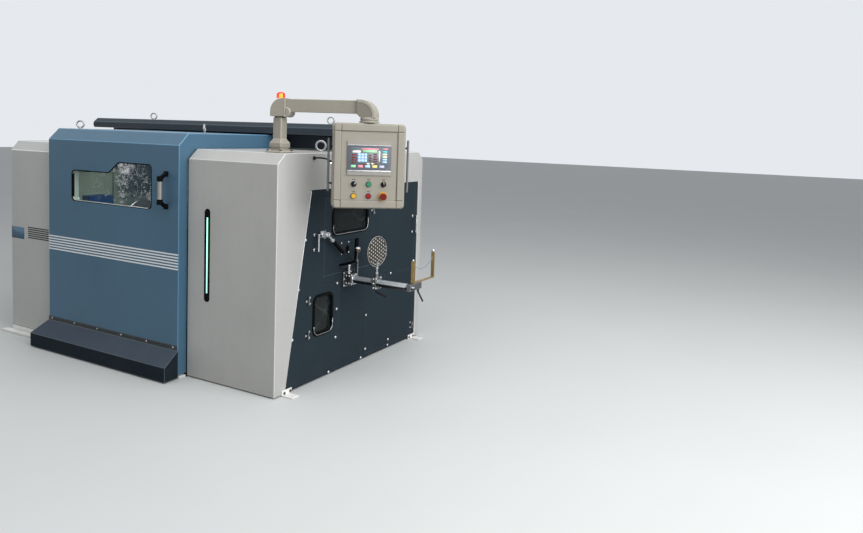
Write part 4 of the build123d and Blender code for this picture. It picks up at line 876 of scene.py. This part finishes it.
def cabinets():
    dress("base_frame", "dark_slate_paint", 0.001)
    dress("floor_rail", "foot_white_paint")
    dress("corner_feet", "foot_white_paint", 0.002)
    dress("headstock_cabinet", "headstock_white_paint", 0.004, "headstock_white_fold_highlight")
    dress("tailstock_cabinet", "cabinet_white_paint", 0.004, "cabinet_white_fold_highlight")
    dress("rear_housing", "hood_slate_paint", 0.002)
    dress("canopy", "hood_slate_paint", 0.005, "slate_fold_highlight")
    flange = crossed((-0.788, -0.732, 0.788, 0.732), (0.0165,))
    end_screws("foot_flange_bolts", "corner_feet", HEAD_HIGH.x + FOOT_TOP, flange, 0.0095, 0.006,
               black_screws)
    plate = [(TAIL_LOW.x - 0.022, y, FOOT_TOP) for y in (-0.794, -0.760, 0.794, 0.760)]
    screws(black_screws, "foot_plate_bolts", "corner_feet", plate, FACING_UP, 0.0095, 0.008)


def gasket(name, slot, x0, x1, front, low, high, chamfer_depth):
    """The rubber strip on a cabinet's inner face that the cover's end closes on."""
    width, foot, back = 0.014, 0.03, 0.06
    edge = front + 0.002
    top = high - 0.0015
    outer = [(edge, foot), (edge, low), (front + chamfer_depth, top), (back, top)]
    inner = [(back, top - width), (front + chamfer_depth + width * 0.4, top - width),
             (edge + width, low - width * 0.45), (edge + width, foot)]
    outline = [(x0, y, z) for y, z in outer + inner]
    Form().prism(outline, (x1 - x0, 0, 0)).piece(name, slot, "black_rubber", edge=0.003)


# Inside of the chamber, as far as the cover's window shows it
def chamber():
    dress("reel_cradle", "cradle_blue_paint", 0.004)
    dress("take_up_reel", "reel_grey_paint", 0.004, "plated_chrome")
    reel_low, reel_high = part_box("take_up_reel")
    axis_y = (reel_low.y + reel_high.y) / 2
    axis_z = (reel_low.z + reel_high.z) / 2
    ring = [(reel_high.x, axis_y + y, axis_z + z) for y, z in arc(0.2, 15, 345, 11)]
    screws(zinc_screws, "reel_bolts", "take_up_reel", ring, FACING_END, 0.012, 0.008)
    gasket("headstock_gasket", "headstock_cabinet", COVER_HIGH.x + 0.005, HEAD_LOW.x - 0.0002, HEAD_LOW.y,
           1.45, HEAD_HIGH.z, 0.07)
    gasket("tailstock_gasket", "tailstock_cabinet", TAIL_HIGH.x + 0.0002, COVER_LOW.x - 0.003, TAIL_LOW.y,
           1.434, TAIL_HIGH.z, 0.058)
    wall = TAIL_HIGH.x
    back = wall + 0.0002
    liner = Form()
    liner.box((back, -0.858, 0.03), (wall + 0.008, -0.700, 1.42), slot=1)
    for y0, y1 in ((-0.694, -0.394), (-0.386, 0.056)):
        liner.box((back, y0, 0.03), (wall + 0.004, y1, 1.48))
    liner.piece("tail_wall_liner", "tailstock_cabinet", "liner_green_paint", "liner_pale_paint", edge=0.002)
    boxes("tail_wall_seams", "tailstock_cabinet", "deep_black_moulding", [
        ((back, -0.3935, 0.03), (wall + 0.002, -0.3865, 1.48)),
        ((wall + 0.0035, -0.690, 1.280), (wall + 0.0045, -0.440, 1.2835))])


# Outline of the cover's window: it steps up toward the headstock
WINDOW_CORNERS = [(-0.506, 1.101), (-0.506, 1.322), (-0.104, 1.322), (-0.002, 1.398), (0.330, 1.398),
                  (0.330, 1.101)]
WINDOW_RADIUS = 0.030


def rounded_loop(corners, radius, y, steps=6):
    """A closed line through corners in the front's plane, each corner rounded."""
    loop = []
    for index, corner in enumerate(corners):
        here = Vector(corner)
        before = (Vector(corners[index - 1]) - here).normalized()
        after = (Vector(corners[(index + 1) % len(corners)]) - here).normalized()
        half = before.angle(after) / 2
        bend = math.pi - 2 * half
        centre = here + (before + after).normalized() * radius / math.sin(half)
        start = here + before * radius / math.tan(half) - centre
        end = here + after * radius / math.tan(half) - centre
        for step in range(steps + 1):
            share = step / steps
            turned = start * math.sin((1 - share) * bend) + end * math.sin(share * bend)
            spot = centre + turned / math.sin(bend)
            loop.append((spot.x, y, spot.y))
    return loop + [loop[0]]


def on_window_reveal(spot):
    return -0.942 < spot.y < -0.886 and -0.52 < spot.x < 0.34 and 1.09 < spot.z < 1.41


# Front cover with its window, stripes, handle and lifting eyes
def front_cover():
    dress("front_cover", "steel_blue_paint", 0.005, "steel_blue_fold_highlight",
          zones=[(on_window_reveal, "liner_pale_paint")])
    seal = Form().sweep(rounded_loop(WINDOW_CORNERS, WINDOW_RADIUS, COVER_FACE + 0.0028), 0.0044)
    # The thin black box at the window's left edge darkens that cut edge, a painted shade
    seal.box((-0.5062, -0.9425, 1.128), (-0.5040, -0.9235, 1.295))
    seal.piece("window_gasket", "front_cover", "deep_black_moulding")
    # A bright line along the window's lower edge, a painted highlight
    lip = Form().sweep([(x, COVER_FACE + 0.0006, 1.1052) for x in (-0.470, 0.295)], 0.0015)
    lip.piece("window_painted_highlight", "front_cover", "bright_zinc_bolt")
    dress("cover_glass", "cover_pane", 0.0005)
    dress("cover_lifting_eyes", "zinc_bolt", 0.0008)
    handle_low, handle_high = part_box("cover_handle")
    grip_low, grip_high = handle_low.z + 0.066, handle_high.z - 0.066
    grip = [(lambda spot: grip_low < spot.z < grip_high and spot.y < COVER_FACE - 0.03, "grip_sleeve")]
    dress("cover_handle", "deep_black_moulding", 0.003, zones=grip)
    middle = ((COVER_HIGH.x + COVER_LOW.x) / 2, COVER_FACE - 0.0003, 0.7265)
    bars = bar_growth("cover_bars", "white_stripe_vinyl")
    bars.grow("cover_stripes", "front_cover", [middle], Length=COVER_HIGH.x - COVER_LOW.x - 0.001,
              Height=0.0090, Depth=0.0007, Pitch=0.0191, Count=6)


# Kick box along the foot of the cover
def kick_box():
    low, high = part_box("kick_box")
    flange = (lambda spot: spot.z > 0.1905 and spot.y < COVER_FACE - 0.001, "black_rubber")
    top = (lambda spot: 0.1065 < spot.z < 0.19, "kick_slate_paint")
    dress("kick_box", "dark_slate_paint", 0.003, "slate_fold_highlight", zones=[flange, top])
    pitch = (COVER_HIGH.x - COVER_LOW.x - 0.08) / 5
    row = [(COVER_LOW.x + 0.04 + pitch * step, COVER_FACE - 0.004, high.z - 0.014) for step in range(6)]
    screws(zinc_screws, "kick_flange_screws", "kick_box", row, FACING_FRONT, 0.007, 0.003)
    corner = [(high.x - 0.03, low.y + 0.0031, 0.085)]
    screws(zinc_screws, "kick_corner_screw", "kick_box", corner, FACING_FRONT, 0.006, 0.003)


# Foot strip and decor on the tailstock's front
def tail_decor():
    face = TAIL_LOW.y
    x0, x1 = TAIL_LOW.x + 0.0008, TAIL_HIGH.x - 0.0008
    boxes("tail_foot_strip", "tailstock_cabinet", "foot_white_paint",
          [((x0, face - 0.0012, 0.0095), (x1, face + 0.0008, 0.0455))], edge=0.0004)
    # A dark line over the foot strip, a painted shadow under the cabinet's edge
    boxes("tail_foot_shadow_line", "tailstock_cabinet", "seam_shadow",
          [((x0, face - 0.0004, 0.0455), (x1, face + 0.0008, 0.0490))])
    boxes("tail_patch", "tailstock_cabinet", "blue_patch_vinyl",
          [((TAIL_LOW.x + 0.0005, face - 0.0006, 0.742), (-1.191, face + 0.0005, 0.832))])
    bars = bar_growth("tail_bars", "black_stripe_vinyl")
    bars.grow("tail_stripes", "tailstock_cabinet", [(-1.0135, face - 0.0003, 0.7605)], Length=0.259,
              Height=0.0092, Depth=0.0007, Pitch=0.0158, Count=6)


# Signal light in the headstock's front
def signal_light():
    dress("signal_light", "deep_black_moulding", 0.001)
    lens = Form().sweep([(SIGNAL_X, HEAD_LOW.y + 0.004, z) for z in (0.586, 1.079)], 0.0072, sides=20)
    lens.piece("signal_light_lens", "signal_light", "signal_lens")


def hinge_screws(name, node, y, door_side, heights):
    """Bright screws in both leaves of a door's hinges, two beside the door and one beside the frame."""
    face = PANEL_FACE + 0.0035
    near = [(y + door_side * 0.017, z + rise) for z in heights for rise in (-0.0205, 0.0205)]
    end_screws(name + "_leaf_screws", node, face, near, 0.0052, 0.002)
    far = [(y - door_side * 0.017, z) for z in heights]
    end_screws(name + "_hinge_screws", "door_hinges", face, far, 0.0052, 0.002)


def panel_edge(name, slot, finish, start_x, shift_y, width, depth):
    """A thin strip along the end panel's slanted edge."""
    foot = Vector((start_x, PANEL_LOW.y + shift_y, 0.010))
    top = Vector((start_x, SLANT_TOP_Y + shift_y, PANEL_HIGH.z - 0.002))
    across = Vector((0, width, 0))
    strip = Form().prism([foot, foot + across, top + across, top], (depth, 0, 0))
    strip.piece(name, slot, finish)


def seal_highlight_trim(node):
    """A bright chrome line round the lower corners of a window's seal, a painted highlight on the rubber."""
    low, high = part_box(node)
    face, inset, corner = high.x - 0.0006, 0.009, 0.044
    path = [(face, low.y + inset, low.z + corner + 0.03)]
    for centre_y, first in ((low.y + inset + corner, 180), (high.y - inset - corner, 270)):
        for y, z in arc(corner, first, first + 90, 6):
            path.append((face, centre_y + y, low.z + inset + corner + z))
    path.append((face, high.y - inset, low.z + corner + 0.05))
    Form().sweep(path, 0.0015, sides=10).piece(node + "_painted_highlight", node, "plated_chrome")


# Places of the end panel's screws and plugs, as (y, z)
PANEL_SCREWS = [(-0.703, 0.331), (-0.651, 0.644), (-0.589, 0.957), (-0.318, 0.019), (0.066, 0.019),
                (0.428, 0.025), (0.446, 0.584)]
LOWER_DOOR_SCREWS = [(-0.241, 0.620), (-0.242, 0.441), (-0.248, 0.245)]
SERVICE_DOOR_SCREWS = [(0.122, 0.323), (0.122, 0.070), (0.433, 0.067)]
PLATE_SCREWS = [(-0.200, 0.892), (-0.196, 0.816), (-0.114, 0.820), (-0.116, 0.892)]
PLATE_PLUGS = [(-0.073, 0.881), (-0.073, 0.762)]


# End panel with its windows, doors, hinges and screws
def end_panel():
    dress("end_panel", "slate_paint", 0.001, "slate_fold_highlight")
    for node in ("lower_door", "service_door", "side_door"):
        dress(node, "slate_paint", 0.0008, "slate_fold_highlight",
              zones=[(lambda spot: spot.x > PANEL_FACE + 0.001, "dark_steel")])
    dress("door_hinges", "dark_steel", 0.0006)
    dress("side_door_handle", "plated_chrome")
    for node in ("upper_window_seal", "lower_window_seal"):
        dress(node, "deep_black_moulding", 0.004, segments=4)
        seal_highlight_trim(node)
    for node in ("upper_window_glass", "lower_window_glass"):
        dress(node, "smoked_pane", 0.0005)
    dress("inlet_plate", "slate_paint", 0.0008)
    end_screws("end_panel_screws", "end_panel", PANEL_FACE, PANEL_SCREWS)
    end_screws("lower_door_screws", "lower_door", PANEL_FACE, LOWER_DOOR_SCREWS)
    end_screws("service_door_screws", "service_door", PANEL_FACE, SERVICE_DOOR_SCREWS)
    hinge_screws("lower", "lower_door", -0.5555, 1, (0.328, 0.554))
    hinge_screws("service", "service_door", 0.7755, -1, (0.110, 0.490))
    hinge_screws("side", "side_door", 0.1755, 1, (0.700, 1.092))
    # Black strip: painted shade in the slanted edge's gap; bright strip on the headstock: painted highlight
    panel_edge("panel_edge_shade_strip", "end_panel", "deep_black_moulding", PANEL_FACE - 0.002, 0, 0.006, 0.0035)
    panel_edge("panel_edge_highlight_strip", "headstock_cabinet", "bright_zinc_bolt", HEAD_HIGH.x - 0.0005, -0.0045,
               0.0045, 0.0013)
    plate_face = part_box("inlet_plate")[1].x
    end_screws("inlet_plate_screws", "inlet_plate", plate_face, PLATE_SCREWS, 0.0058, 0.0025)
    end_screws("inlet_plate_plugs", "inlet_plate", plate_face, PLATE_PLUGS, 0.0060, 0.0015, dark_plugs)


# Latch with its keeper: plated bars, swivel blocks and a black grip
def latch():
    grip = [(lambda spot: spot.y > -0.362 and spot.z < 0.938, "deep_black_moulding")]
    dress("latch_keeper", "plated_chrome", 0.0012)
    dress("latch_lever", "plated_chrome", zones=grip)
    pivot = Vector((1.393, -0.418, 0.977))
    along = (Vector((1.393, -0.241, 0.836)) - pivot).normalized()
    works = Form()
    works.stud(pivot + along * 0.058, along, 0.0148, 0.012, 0.0138, 0.016)
    cap = [(0, 0), (0, 0.0095), (0.004, 0.0085), (0.006, 0.004), (0.006, 0)]
    works.lathe(pivot + along * 0.2215, along, cap)
    works.box((1.388, -0.5, 0.985), (1.400, -0.43, 0.997))
    works.box((1.386, -0.47, 0.958), (1.402, -0.448, 0.996))
    works.stud((1.3865, -0.487, 0.99), TO_END, 0.009, 0.018, 0.006, 0.021)
    works.stud((1.400, -0.418, 0.977), TO_END, 0.013, 0.012, 0.01, 0.014, sides=6)
    works.piece("latch_fittings", "latch_lever", "plated_chrome", edge=0.001)


# Work lamp over the end panel: a bent arm with a small lens
def work_lamp():
    low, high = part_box("work_lamp")
    y = (low.y + high.y) / 2
    bend = [(low.x + 0.004, y, 1.483), (low.x + 0.05, y, 1.4865), (low.x + 0.1, y, 1.482),
            (high.x - 0.008, y, 1.466)]
    lamp = Form().box((low.x, low.y, high.z - 0.022), (low.x + 0.008, high.y, high.z))
    lamp.sweep(curve_through(bend, 6), 0.0055, sides=14)
    lamp.rod((high.x - 0.034, y, 1.4735), (high.x - 0.001, y, 1.4615), 0.0065, tip=0.0055)
    lamp.rod((high.x - 0.012, y, 1.4635), (high.x - 0.014, y, 1.4572), 0.0042, slot=1)
    lamp.piece("work_lamp_arm", "work_lamp", "black_moulding", "lamp_lens", edge=0.0008,
               replaced=["work_lamp"])


# Wire guide: bracket, polished tube, perforated disc, clamps, ball lever and guard with its chain
DISC_X = 1.604
BRACKET_X = 1.385


def wire_guide():
    dress("guide_bracket", "dark_steel", 0.002)
    dress("guide_tube", "polished_tube")
    dress("guide_clamps", "dark_steel", 0.002, "machined_steel")
    dress("clamp_levers", "black_moulding")
    dress("wire_guard", "yellow_zinc", 0.001)
    ball = (lambda spot: spot.z > 0.8255, "brass_ball")
    # The ball's top in bright zinc, a painted highlight
    painted_top_glint = (lambda spot: spot.z > 0.852, "bright_zinc_bolt")
    dress("ball_lever", "dark_steel", 0.0012, "plated_chrome", zones=[ball, painted_top_glint])
    guide_bolts()
    stem = (BRACKET_X, GUIDE_Y - 0.016, 0.678)
    spindle = [(0, 0), (0, 0.011), (0.006, 0.011), (0.007, 0.0085), (0.05, 0.0085), (0.052, 0.012),
               (0.062, 0.012), (0.064, 0.009), (0.064, 0)]
    works = Form().lathe(stem, UP, spindle)
    works.collar((1.419, GUIDE_Y, GUIDE_Z), TO_END, -0.006, 0.0275, 0.034, 0.006, 0.031, 0.008)
    works.collar((1.588, GUIDE_Y, GUIDE_Z), TO_TAIL, -0.002, 0.0262, 0.032, 0.007, 0.03, 0.009)
    works.piece("bracket_fittings", "guide_bracket", "plated_chrome", edge=0.001)
    lock = Form()
    lock.rod((BRACKET_X, GUIDE_Y - 0.016, 0.735), (BRACKET_X, GUIDE_Y - 0.085, 0.7285), 0.0055, tip=0.0042)
    lock.ball((BRACKET_X, GUIDE_Y - 0.087, 0.7283), 0.008)
    lock.piece("bracket_lock_lever", "guide_bracket", "black_moulding")
    guide_disc()
    holes = [(1.406, -0.101, height) for height in (0.690, 0.715, 0.740)]
    screws(black_screws, "ball_lever_holes", "ball_lever", holes, FACING_FRONT, 0.0055, 0.0008)
    guard_fittings()


def guide_bolts():
    y, z = GUIDE_Y, GUIDE_Z
    ends = crossed((y - 0.026, y + 0.026), (z - 0.031, z + 0.031))
    end_screws("bracket_end_bolts", "guide_bracket", 1.415, ends, 0.0065, 0.006)
    feet = crossed((y - 0.039, y + 0.039), (z - 0.046, z, z + 0.042))
    end_screws("bracket_foot_bolts", "guide_bracket", 1.361, feet, 0.0055, 0.006)
    sides = [(x, y - 0.034, height) for x, height in crossed((1.376, 1.400), (z - 0.026, z + 0.026))]
    screws(bright_screws, "bracket_side_bolts", "guide_bracket", sides, FACING_FRONT, 0.006, 0.005)
    clamp = [(DISC_X, y - 0.036, z + rise) for rise in (-0.03, 0.0, 0.03)]
    screws(bright_screws, "disc_clamp_bolts", "guide_clamps", clamp, FACING_FRONT, 0.006, 0.006)
    faces = crossed((y - 0.029, y + 0.029), (z - 0.033, z + 0.033))
    end_screws("disc_clamp_face_bolts", "guide_clamps", 1.620, faces, 0.0055, 0.005)


def guide_disc():
    """The perforated disc with a shiny eyelet in each hole, on its neck."""
    pitch, radius, hole = 0.0245, 0.1025, 0.0040
    row_height = 0.866
    spots = []
    for row, column in crossed(range(-6, 7), range(-7, 8)):
        u = (column + 0.5 * (row % 2)) * pitch
        v = row * pitch * row_height
        if math.hypot(u, v) < radius - hole * 2.4:
            spots.append((u, v, 0.0))
    disc = perforated_growth("guide_disc_sheet", "disc_sheet", "disc_eyelet")
    disc.grow("guide_disc_perforated", "guide_disc", spots, replaced=["guide_disc"], Radius=radius,
              HoleRadius=hole, Thickness=0.0016, Place=(DISC_X + 0.0004, GUIDE_Y, 0.855),
              Turn=(0.0, -math.pi / 2, math.radians(-5)))
    neck = Form().rod((DISC_X, GUIDE_Y, 0.7), (DISC_X, GUIDE_Y, 0.768), 0.0075)
    for z, wide, narrow in ((0.7015, 0.0125, 0.0105), (0.735, 0.0115, 0.0095)):
        neck.stud((DISC_X, GUIDE_Y, z), UP, wide, 0.012, narrow, 0.014)
    for x0, x1 in ((1.598, 1.6015), (1.6065, 1.610)):
        neck.box((x0, GUIDE_Y - 0.012, 0.752), (x1, GUIDE_Y + 0.012, 0.79))
    neck.piece("guide_disc_neck", "guide_disc", "machined_steel", edge=0.001)


def guard_fittings():
    low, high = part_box("wire_guard")
    x = (low.x + high.x) / 2
    far_y, near_y = high.y - 0.0035, low.y + 0.0035
    balls = Form().ball((x, far_y, high.z + 0.009), 0.011)
    balls.rod((x, far_y, high.z - 0.002), (x, far_y, high.z + 0.003), 0.005)
    balls.ball((x, near_y, 0.818), 0.008)
    balls.piece("wire_guard_balls", "wire_guard", "plated_chrome")
    span = high.y - low.y - 0.014
    steps = 32
    path = []
    for step in range(steps + 1):
        t = step / steps
        sag = 0.05 * (1 - (2 * t - 1) ** 2)
        path.append((x, low.y + 0.007 + span * t, 0.79 + 0.018 * t - sag))
    links = chain_growth("guard_links", "zinc_bolt")
    links.grow("wire_guard_chain", "wire_guard", path, [(step, step + 1) for step in range(steps)],
               Pitch=0.0092, LinkRadius=0.0036, Wire=0.0009)


# Operator post, arm, beacon and lifting eyes
POST_X = 1.229
POST_Y = -0.717
ARM_PLACE = Matrix.Translation((POST_X, POST_Y, 0)) @ Matrix.Rotation(math.radians(16.8), 4, "Z")
ARM_TOP = 1.855
ELBOW_X = 0.629


def elbow_bands():
    """The raised outer band along each side of the far elbow, in a lighter tone as a painted highlight."""
    radius, width, foot = 0.097, 0.017, 1.747
    centre_x, centre_z = ELBOW_X - radius, ARM_TOP - radius
    outer = [(0.5165, ARM_TOP)] + [(centre_x + x, centre_z + z) for x, z in arc(radius, 90, 0, 12)]
    inner = [(0.5165, ARM_TOP - width)]
    inner += [(centre_x + x, centre_z + z) for x, z in arc(radius - width, 90, 0, 12)]
    outline = outer + [(ELBOW_X, foot), (ELBOW_X - width, foot)] + inner[::-1]
    bands = Form(ARM_PLACE)
    for side in (-1, 1):
        bands.prism([(x, side * 0.0445, z) for x, z in outline], (0, side * 0.0027, 0))
    bands.piece("far_elbow_bands", "operator_arm", "arm_beige_fold_highlight", edge=0.0008)


def beacon_lamp():
    """The lit beacon: a red dome over a yellow core."""
    foot, radius = 1.8545, 0.0268
    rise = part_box("beacon")[1].z - foot
    wall = rise * 0.62
    curve = [(wall + rise * 0.38 * math.sin(angle), radius * math.cos(angle))
             for angle in (math.pi / 2 * step / 6 for step in range(1, 6))]
    dome = [(0, 0), (0, radius), (wall, radius), *curve, (wall + rise * 0.38, 0)]
    core = [(0, 0), (0, 0.012), (rise * 0.6, 0.012), (rise * 0.72, 0.007), (rise * 0.76, 0)]
    lamp = Form(ARM_PLACE).lathe((0.002, 0, foot), UP, dome, sides=40)
    lamp.lathe((0.002, 0, foot + 0.001), UP, core, slot=1, sides=24)
    lamp.piece("beacon_lamp", "beacon", "beacon_dome", "beacon_core", replaced=["beacon"])


# The far elbow's side faces take the darker cheek tone, a painted shade
def on_arm_cheek(spot):
    here = ARM_PLACE.inverted() @ spot
    return here.x > 0.5175 and abs(here.y) > 0.0445 and here.z > 1.75


def operator_arm():
    dress("operator_post", "arm_beige_paint", 0.006, "arm_beige_fold_highlight", segments=2)
    dress("fixed_lifting_eyes", "zinc_bolt", 0.0008)
    dress("operator_arm", "arm_beige_paint", 0.0035, "arm_beige_fold_highlight",
          zones=[(on_arm_cheek, "arm_cheek_painted_shade")])
    elbow_bands()
    beacon_lamp()
    corners = [(POST_X + x, POST_Y + y, 1.526) for x, y in crossed((-0.052, 0.052), (-0.052, 0.052))]
    screws(black_screws, "post_bolts", "operator_post", corners, FACING_UP, 0.0085, 0.008)
    lower = [(0, 0.048), (0, 0.0605), (0.003, 0.062), (0.008, 0.062), (0.012, 0.0565), (0.012, 0.048)]
    upper = [(0, 0.048), (0, 0.0545), (0.003, 0.057), (0.010, 0.057), (0.014, 0.0525), (0.014, 0.048)]
    rings = Form(ARM_PLACE)
    for z, profile in ((1.716, lower), (1.731, upper)):
        rings.lathe((0.582, 0, z), UP, profile, ring=True, sides=48)
    for x0, x1, z0 in ((0.0440, 0.0465, 1.752), (0.5125, 0.515, 1.765)):
        rings.box((x0, -0.0462, z0), (x1, 0.0462, 1.8555))
    rings.piece("arm_collars", "operator_arm", "arm_beige_paint", edge=0.0015)


# Pendant: a case of rounded columns and corner caps round a face sheet, with its display and controls
PENDANT_PLACE = Matrix.Translation((1.7862, -0.5488, 0)) @ Matrix.Rotation(math.radians(39.5), 4, "Z")
PENDANT_FACE = -0.054
PENDANT_HIGH = 1.713
PENDANT_LOW = 1.197
PENDANT_HALF = 0.220
COLUMN_OUTER = 0.2118
COLUMN_INNER = 0.170
BAR_INNER_HIGH = 1.664
BAR_INNER_LOW = 1.247
BAR_OUTER_HIGH = PENDANT_HIGH - 0.0045
BAR_OUTER_LOW = PENDANT_LOW + 0.0045
CAP_RADIUS = 0.021
SEAM_HALF = 0.0012


def cap_outline(side, rise):
    """A corner cap's outline, its outer corner rounded."""
    outer_z, inner_z = (BAR_OUTER_HIGH, BAR_INNER_HIGH) if rise > 0 else (BAR_OUTER_LOW, BAR_INNER_LOW)
    points = [(COLUMN_INNER, inner_z), (COLUMN_OUTER, inner_z)]
    for x, z in arc(CAP_RADIUS, 0, 90, 6):
        points.append((COLUMN_OUTER - CAP_RADIUS + x, outer_z - rise * (CAP_RADIUS - z)))
    points.append((COLUMN_INNER, outer_z))
    return [(side * x, PENDANT_FACE + 0.004, z) for x, z in points]


def pendant_case():
    dress("pendant_box", "arm_beige_paint", 0.002)
    seam = 0.0006
    back, proud = PENDANT_FACE + 0.004, PENDANT_FACE - 0.0068
    bars = Form(PENDANT_PLACE)
    for side in (-1, 1):
        x0, x1 = sorted((side * (COLUMN_INNER + seam), side * COLUMN_OUTER))
        bars.box((x0, proud, BAR_INNER_LOW + seam), (x1, back, BAR_INNER_HIGH - seam))
    for z0, z1 in ((BAR_INNER_HIGH, BAR_OUTER_HIGH), (BAR_OUTER_LOW, BAR_INNER_LOW)):
        bars.box((-COLUMN_INNER + seam, proud, z0), (COLUMN_INNER - seam, back, z1))
    bars.piece("pendant_columns", "pendant_box", "arm_beige_paint", edge=0.0062, segments=4)
    caps = Form(PENDANT_PLACE)
    for side, rise in crossed((-1, 1), (-1, 1)):
        caps.prism(cap_outline(side, rise), (0, proud - 0.0005 - back, 0))
    caps.piece("pendant_corner_caps", "pendant_box", "arm_beige_paint", edge=0.0062, segments=4)
    # Dark strips behind the seams between the bars and caps, a painted shadow
    y0, y1 = PENDANT_FACE - 0.0025, PENDANT_FACE + 0.001
    z0, z1 = PENDANT_LOW + 0.008, PENDANT_HIGH - 0.008
    reach = PENDANT_HALF - 0.009
    upright = [((x - SEAM_HALF, y0, z0), (x + SEAM_HALF, y1, z1)) for x in (-COLUMN_INNER, COLUMN_INNER)]
    level = [((-reach, y0, z - SEAM_HALF), (reach, y1, z + SEAM_HALF))
             for z in (BAR_INNER_HIGH, BAR_INNER_LOW)]
    boxes("pendant_seams", "pendant_box", "seam_shadow", upright + level, PENDANT_PLACE)
    dress("pendant_side_rods", "rod_grey_paint")
    nuts = Form(PENDANT_PLACE)
    for side, z in crossed((-1, 1), (1.346, 1.568)):
        nuts.rod((side * 0.2195, 0, z), (side * 0.236, 0, z), 0.0062, sides=6)
    nuts.piece("pendant_rod_standoffs", "pendant_side_rods", "black_moulding", edge=0.0006)


# Fields of the display: the first one's left, right, top and bottom edges as shares of its width and
# height, how many columns and their pitch, how many rows and their pitch, and the colours in turn
DISPLAY_FIELDS = [
    (0.30, 0.74, 0.05, 0.13, 1, 0, 1, 0, "pink"),
    (0.33, 0.70, 0.14, 0.25, 1, 0, 1, 0, "mint"),
    (0.86, 0.99, 0.04, 0.10, 1, 0, 1, 0, "pink"),
    (0.05, 0.26, 0.17, 0.27, 1, 0, 1, 0, "white"),
    (0.75, 0.78, 0.16, 0.70, 1, 0, 1, 0, "white"),
    (0.43, 0.50, 0.76, 0.83, 1, 0, 1, 0, "white"),
    (0.55, 0.64, 0.76, 0.83, 1, 0, 1, 0, "cream"),
    (0.30, 0.45, 0.80, 0.84, 1, 0, 1, 0, "crimson"),
    (0.03, 0.15, 0.34, 0.41, 1, 0, 4, 0.12, "crimson"),
    (0.19, 0.265, 0.30, 0.43, 3, 0.085, 3, 0.145, "sky"),
    (0.49, 0.545, 0.36, 0.43, 1, 0, 3, 0.12, "crimson"),
    (0.61, 0.70, 0.30, 0.37, 1, 0, 5, 0.115, "crimson"),
    (0.85, 0.97, 0.16, 0.245, 1, 0, 5, 0.125, "cyan cream cream sky sky"),
    (0.01, 0.14, 0.87, 0.985, 5, 0.19, 1, 0, "mint pink sky yellow lavender"),
]


def pendant_display():
    dress("pendant_screen", "bezel_grey")
    front = PENDANT_FACE - 0.007
    back = front + 0.001
    boxes("display_surround", "pendant_screen", "display_frame",
          [((-0.1325, front - 0.0012, 1.431), (0.1325, back, 1.5785))], PENDANT_PLACE, edge=0.0008)
    # Thin chrome strips above and below the display stand in for its bright streaks, a painted highlight
    boxes("display_highlight_trim", "pendant_screen", "plated_chrome", [
        ((-0.132, front - 0.0026, 1.4225), (0.132, back, 1.4300)),
        ((-0.132, front - 0.0022, 1.5795), (0.132, back, 1.5820))], PENDANT_PLACE, edge=0.0008)
    fields = list(DISPLAY_COLOURS)
    left, width, top, height = -0.113, 0.226, 1.569, 0.124
    screen = Form(PENDANT_PLACE)
    screen.box((left, front - 0.0015, top - height), (left + width, front, top))
    for x0, x1, z0, z1, columns, pitch_x, rows, pitch_z, colours in DISPLAY_FIELDS:
        colours = colours.split()
        for column, row in crossed(range(columns), range(rows)):
            right, down = pitch_x * column, pitch_z * row
            finish = fields.index(colours[(column + row) % len(colours)])
            screen.box((left + width * (x0 + right), front - 0.0018, top - height * (z1 + down)),
                       (left + width * (x1 + right), front - 0.0013, top - height * (z0 + down)), finish)
    screen.piece("display_fields", "pendant_screen", *("display_" + field for field in fields))


# Places of the controls on the pendant's face
SIDE_X = 0.09
STOP_X = 0.088
UPPER_ROW = 1.346
LOWER_ROW = 1.274
GREEN = (0, UPPER_ROW)
YELLOW = (-SIDE_X, LOWER_ROW)
RED = (0, LOWER_ROW)
SELECTORS = [(-SIDE_X, UPPER_ROW), (SIDE_X, UPPER_ROW)]


def on_cap(x, z, reach=0.0145):
    """A test for faces that stand off the pendant's face within reach of a control's middle."""
    local = PENDANT_PLACE.inverted()

    def test(spot):
        here = local @ spot
        return math.hypot(here.x - x, here.z - z) < reach and here.y < PENDANT_FACE - 0.0005
    return test


def pendant_controls():
    dress("pendant_controls", "black_moulding", 0.0012, zones=[
        (on_cap(*GREEN), "green_cap"), (on_cap(*YELLOW), "yellow_cap"), (on_cap(*RED), "red_cap"),
        (on_cap(STOP_X, LOWER_ROW, 0.028), "stop_ring_yellow")])
    rings = Form(PENDANT_PLACE)
    marks = Form(PENDANT_PLACE)
    y0, y1 = PENDANT_FACE - 0.0003, PENDANT_FACE + 0.0005
    for x, z in (GREEN, YELLOW, RED, *SELECTORS):
        rings.collar((x, PENDANT_FACE, z), TO_FRONT, -0.001, 0.014, 0.0175, 0.002, 0.0155, 0.0035)
        for half, low, high in ((0.011, 0.0255, 0.0275), (0.007, 0.0295, 0.0312)):
            marks.box((x - half, y0, z + low), (x + half, y1, z + high))
    rings.piece("control_rings", "pendant_controls", "black_moulding")
    pointers = Form(PENDANT_PLACE)
    for (x, z), lean in zip(SELECTORS, (45.0, 0.0)):
        turn = Matrix.Translation((x, 0, z)) @ Matrix.Rotation(math.radians(lean), 4, "Y")
        for half, front, back, low, high in ((0.0012, 0.0248, 0.0238, 0.001, 0.0115),
                                             (0.002, 0.0106, 0.0098, 0.0095, 0.0135)):
            pointers.box((-half, PENDANT_FACE - front, low), (half, PENDANT_FACE - back, high), turn=turn)
    pointers.piece("selector_pointers", "pendant_controls", "white_stripe_vinyl")
    marks.piece("control_marks", "pendant_controls", "black_moulding")
    dress("estop_button", "mushroom_red", 0.004, segments=4)


for build in (cabinets, chamber, front_cover, kick_box, tail_decor, signal_light, end_panel, latch, work_lamp,
              wire_guide, operator_arm, pendant_case, pendant_display, pendant_controls):
    build()
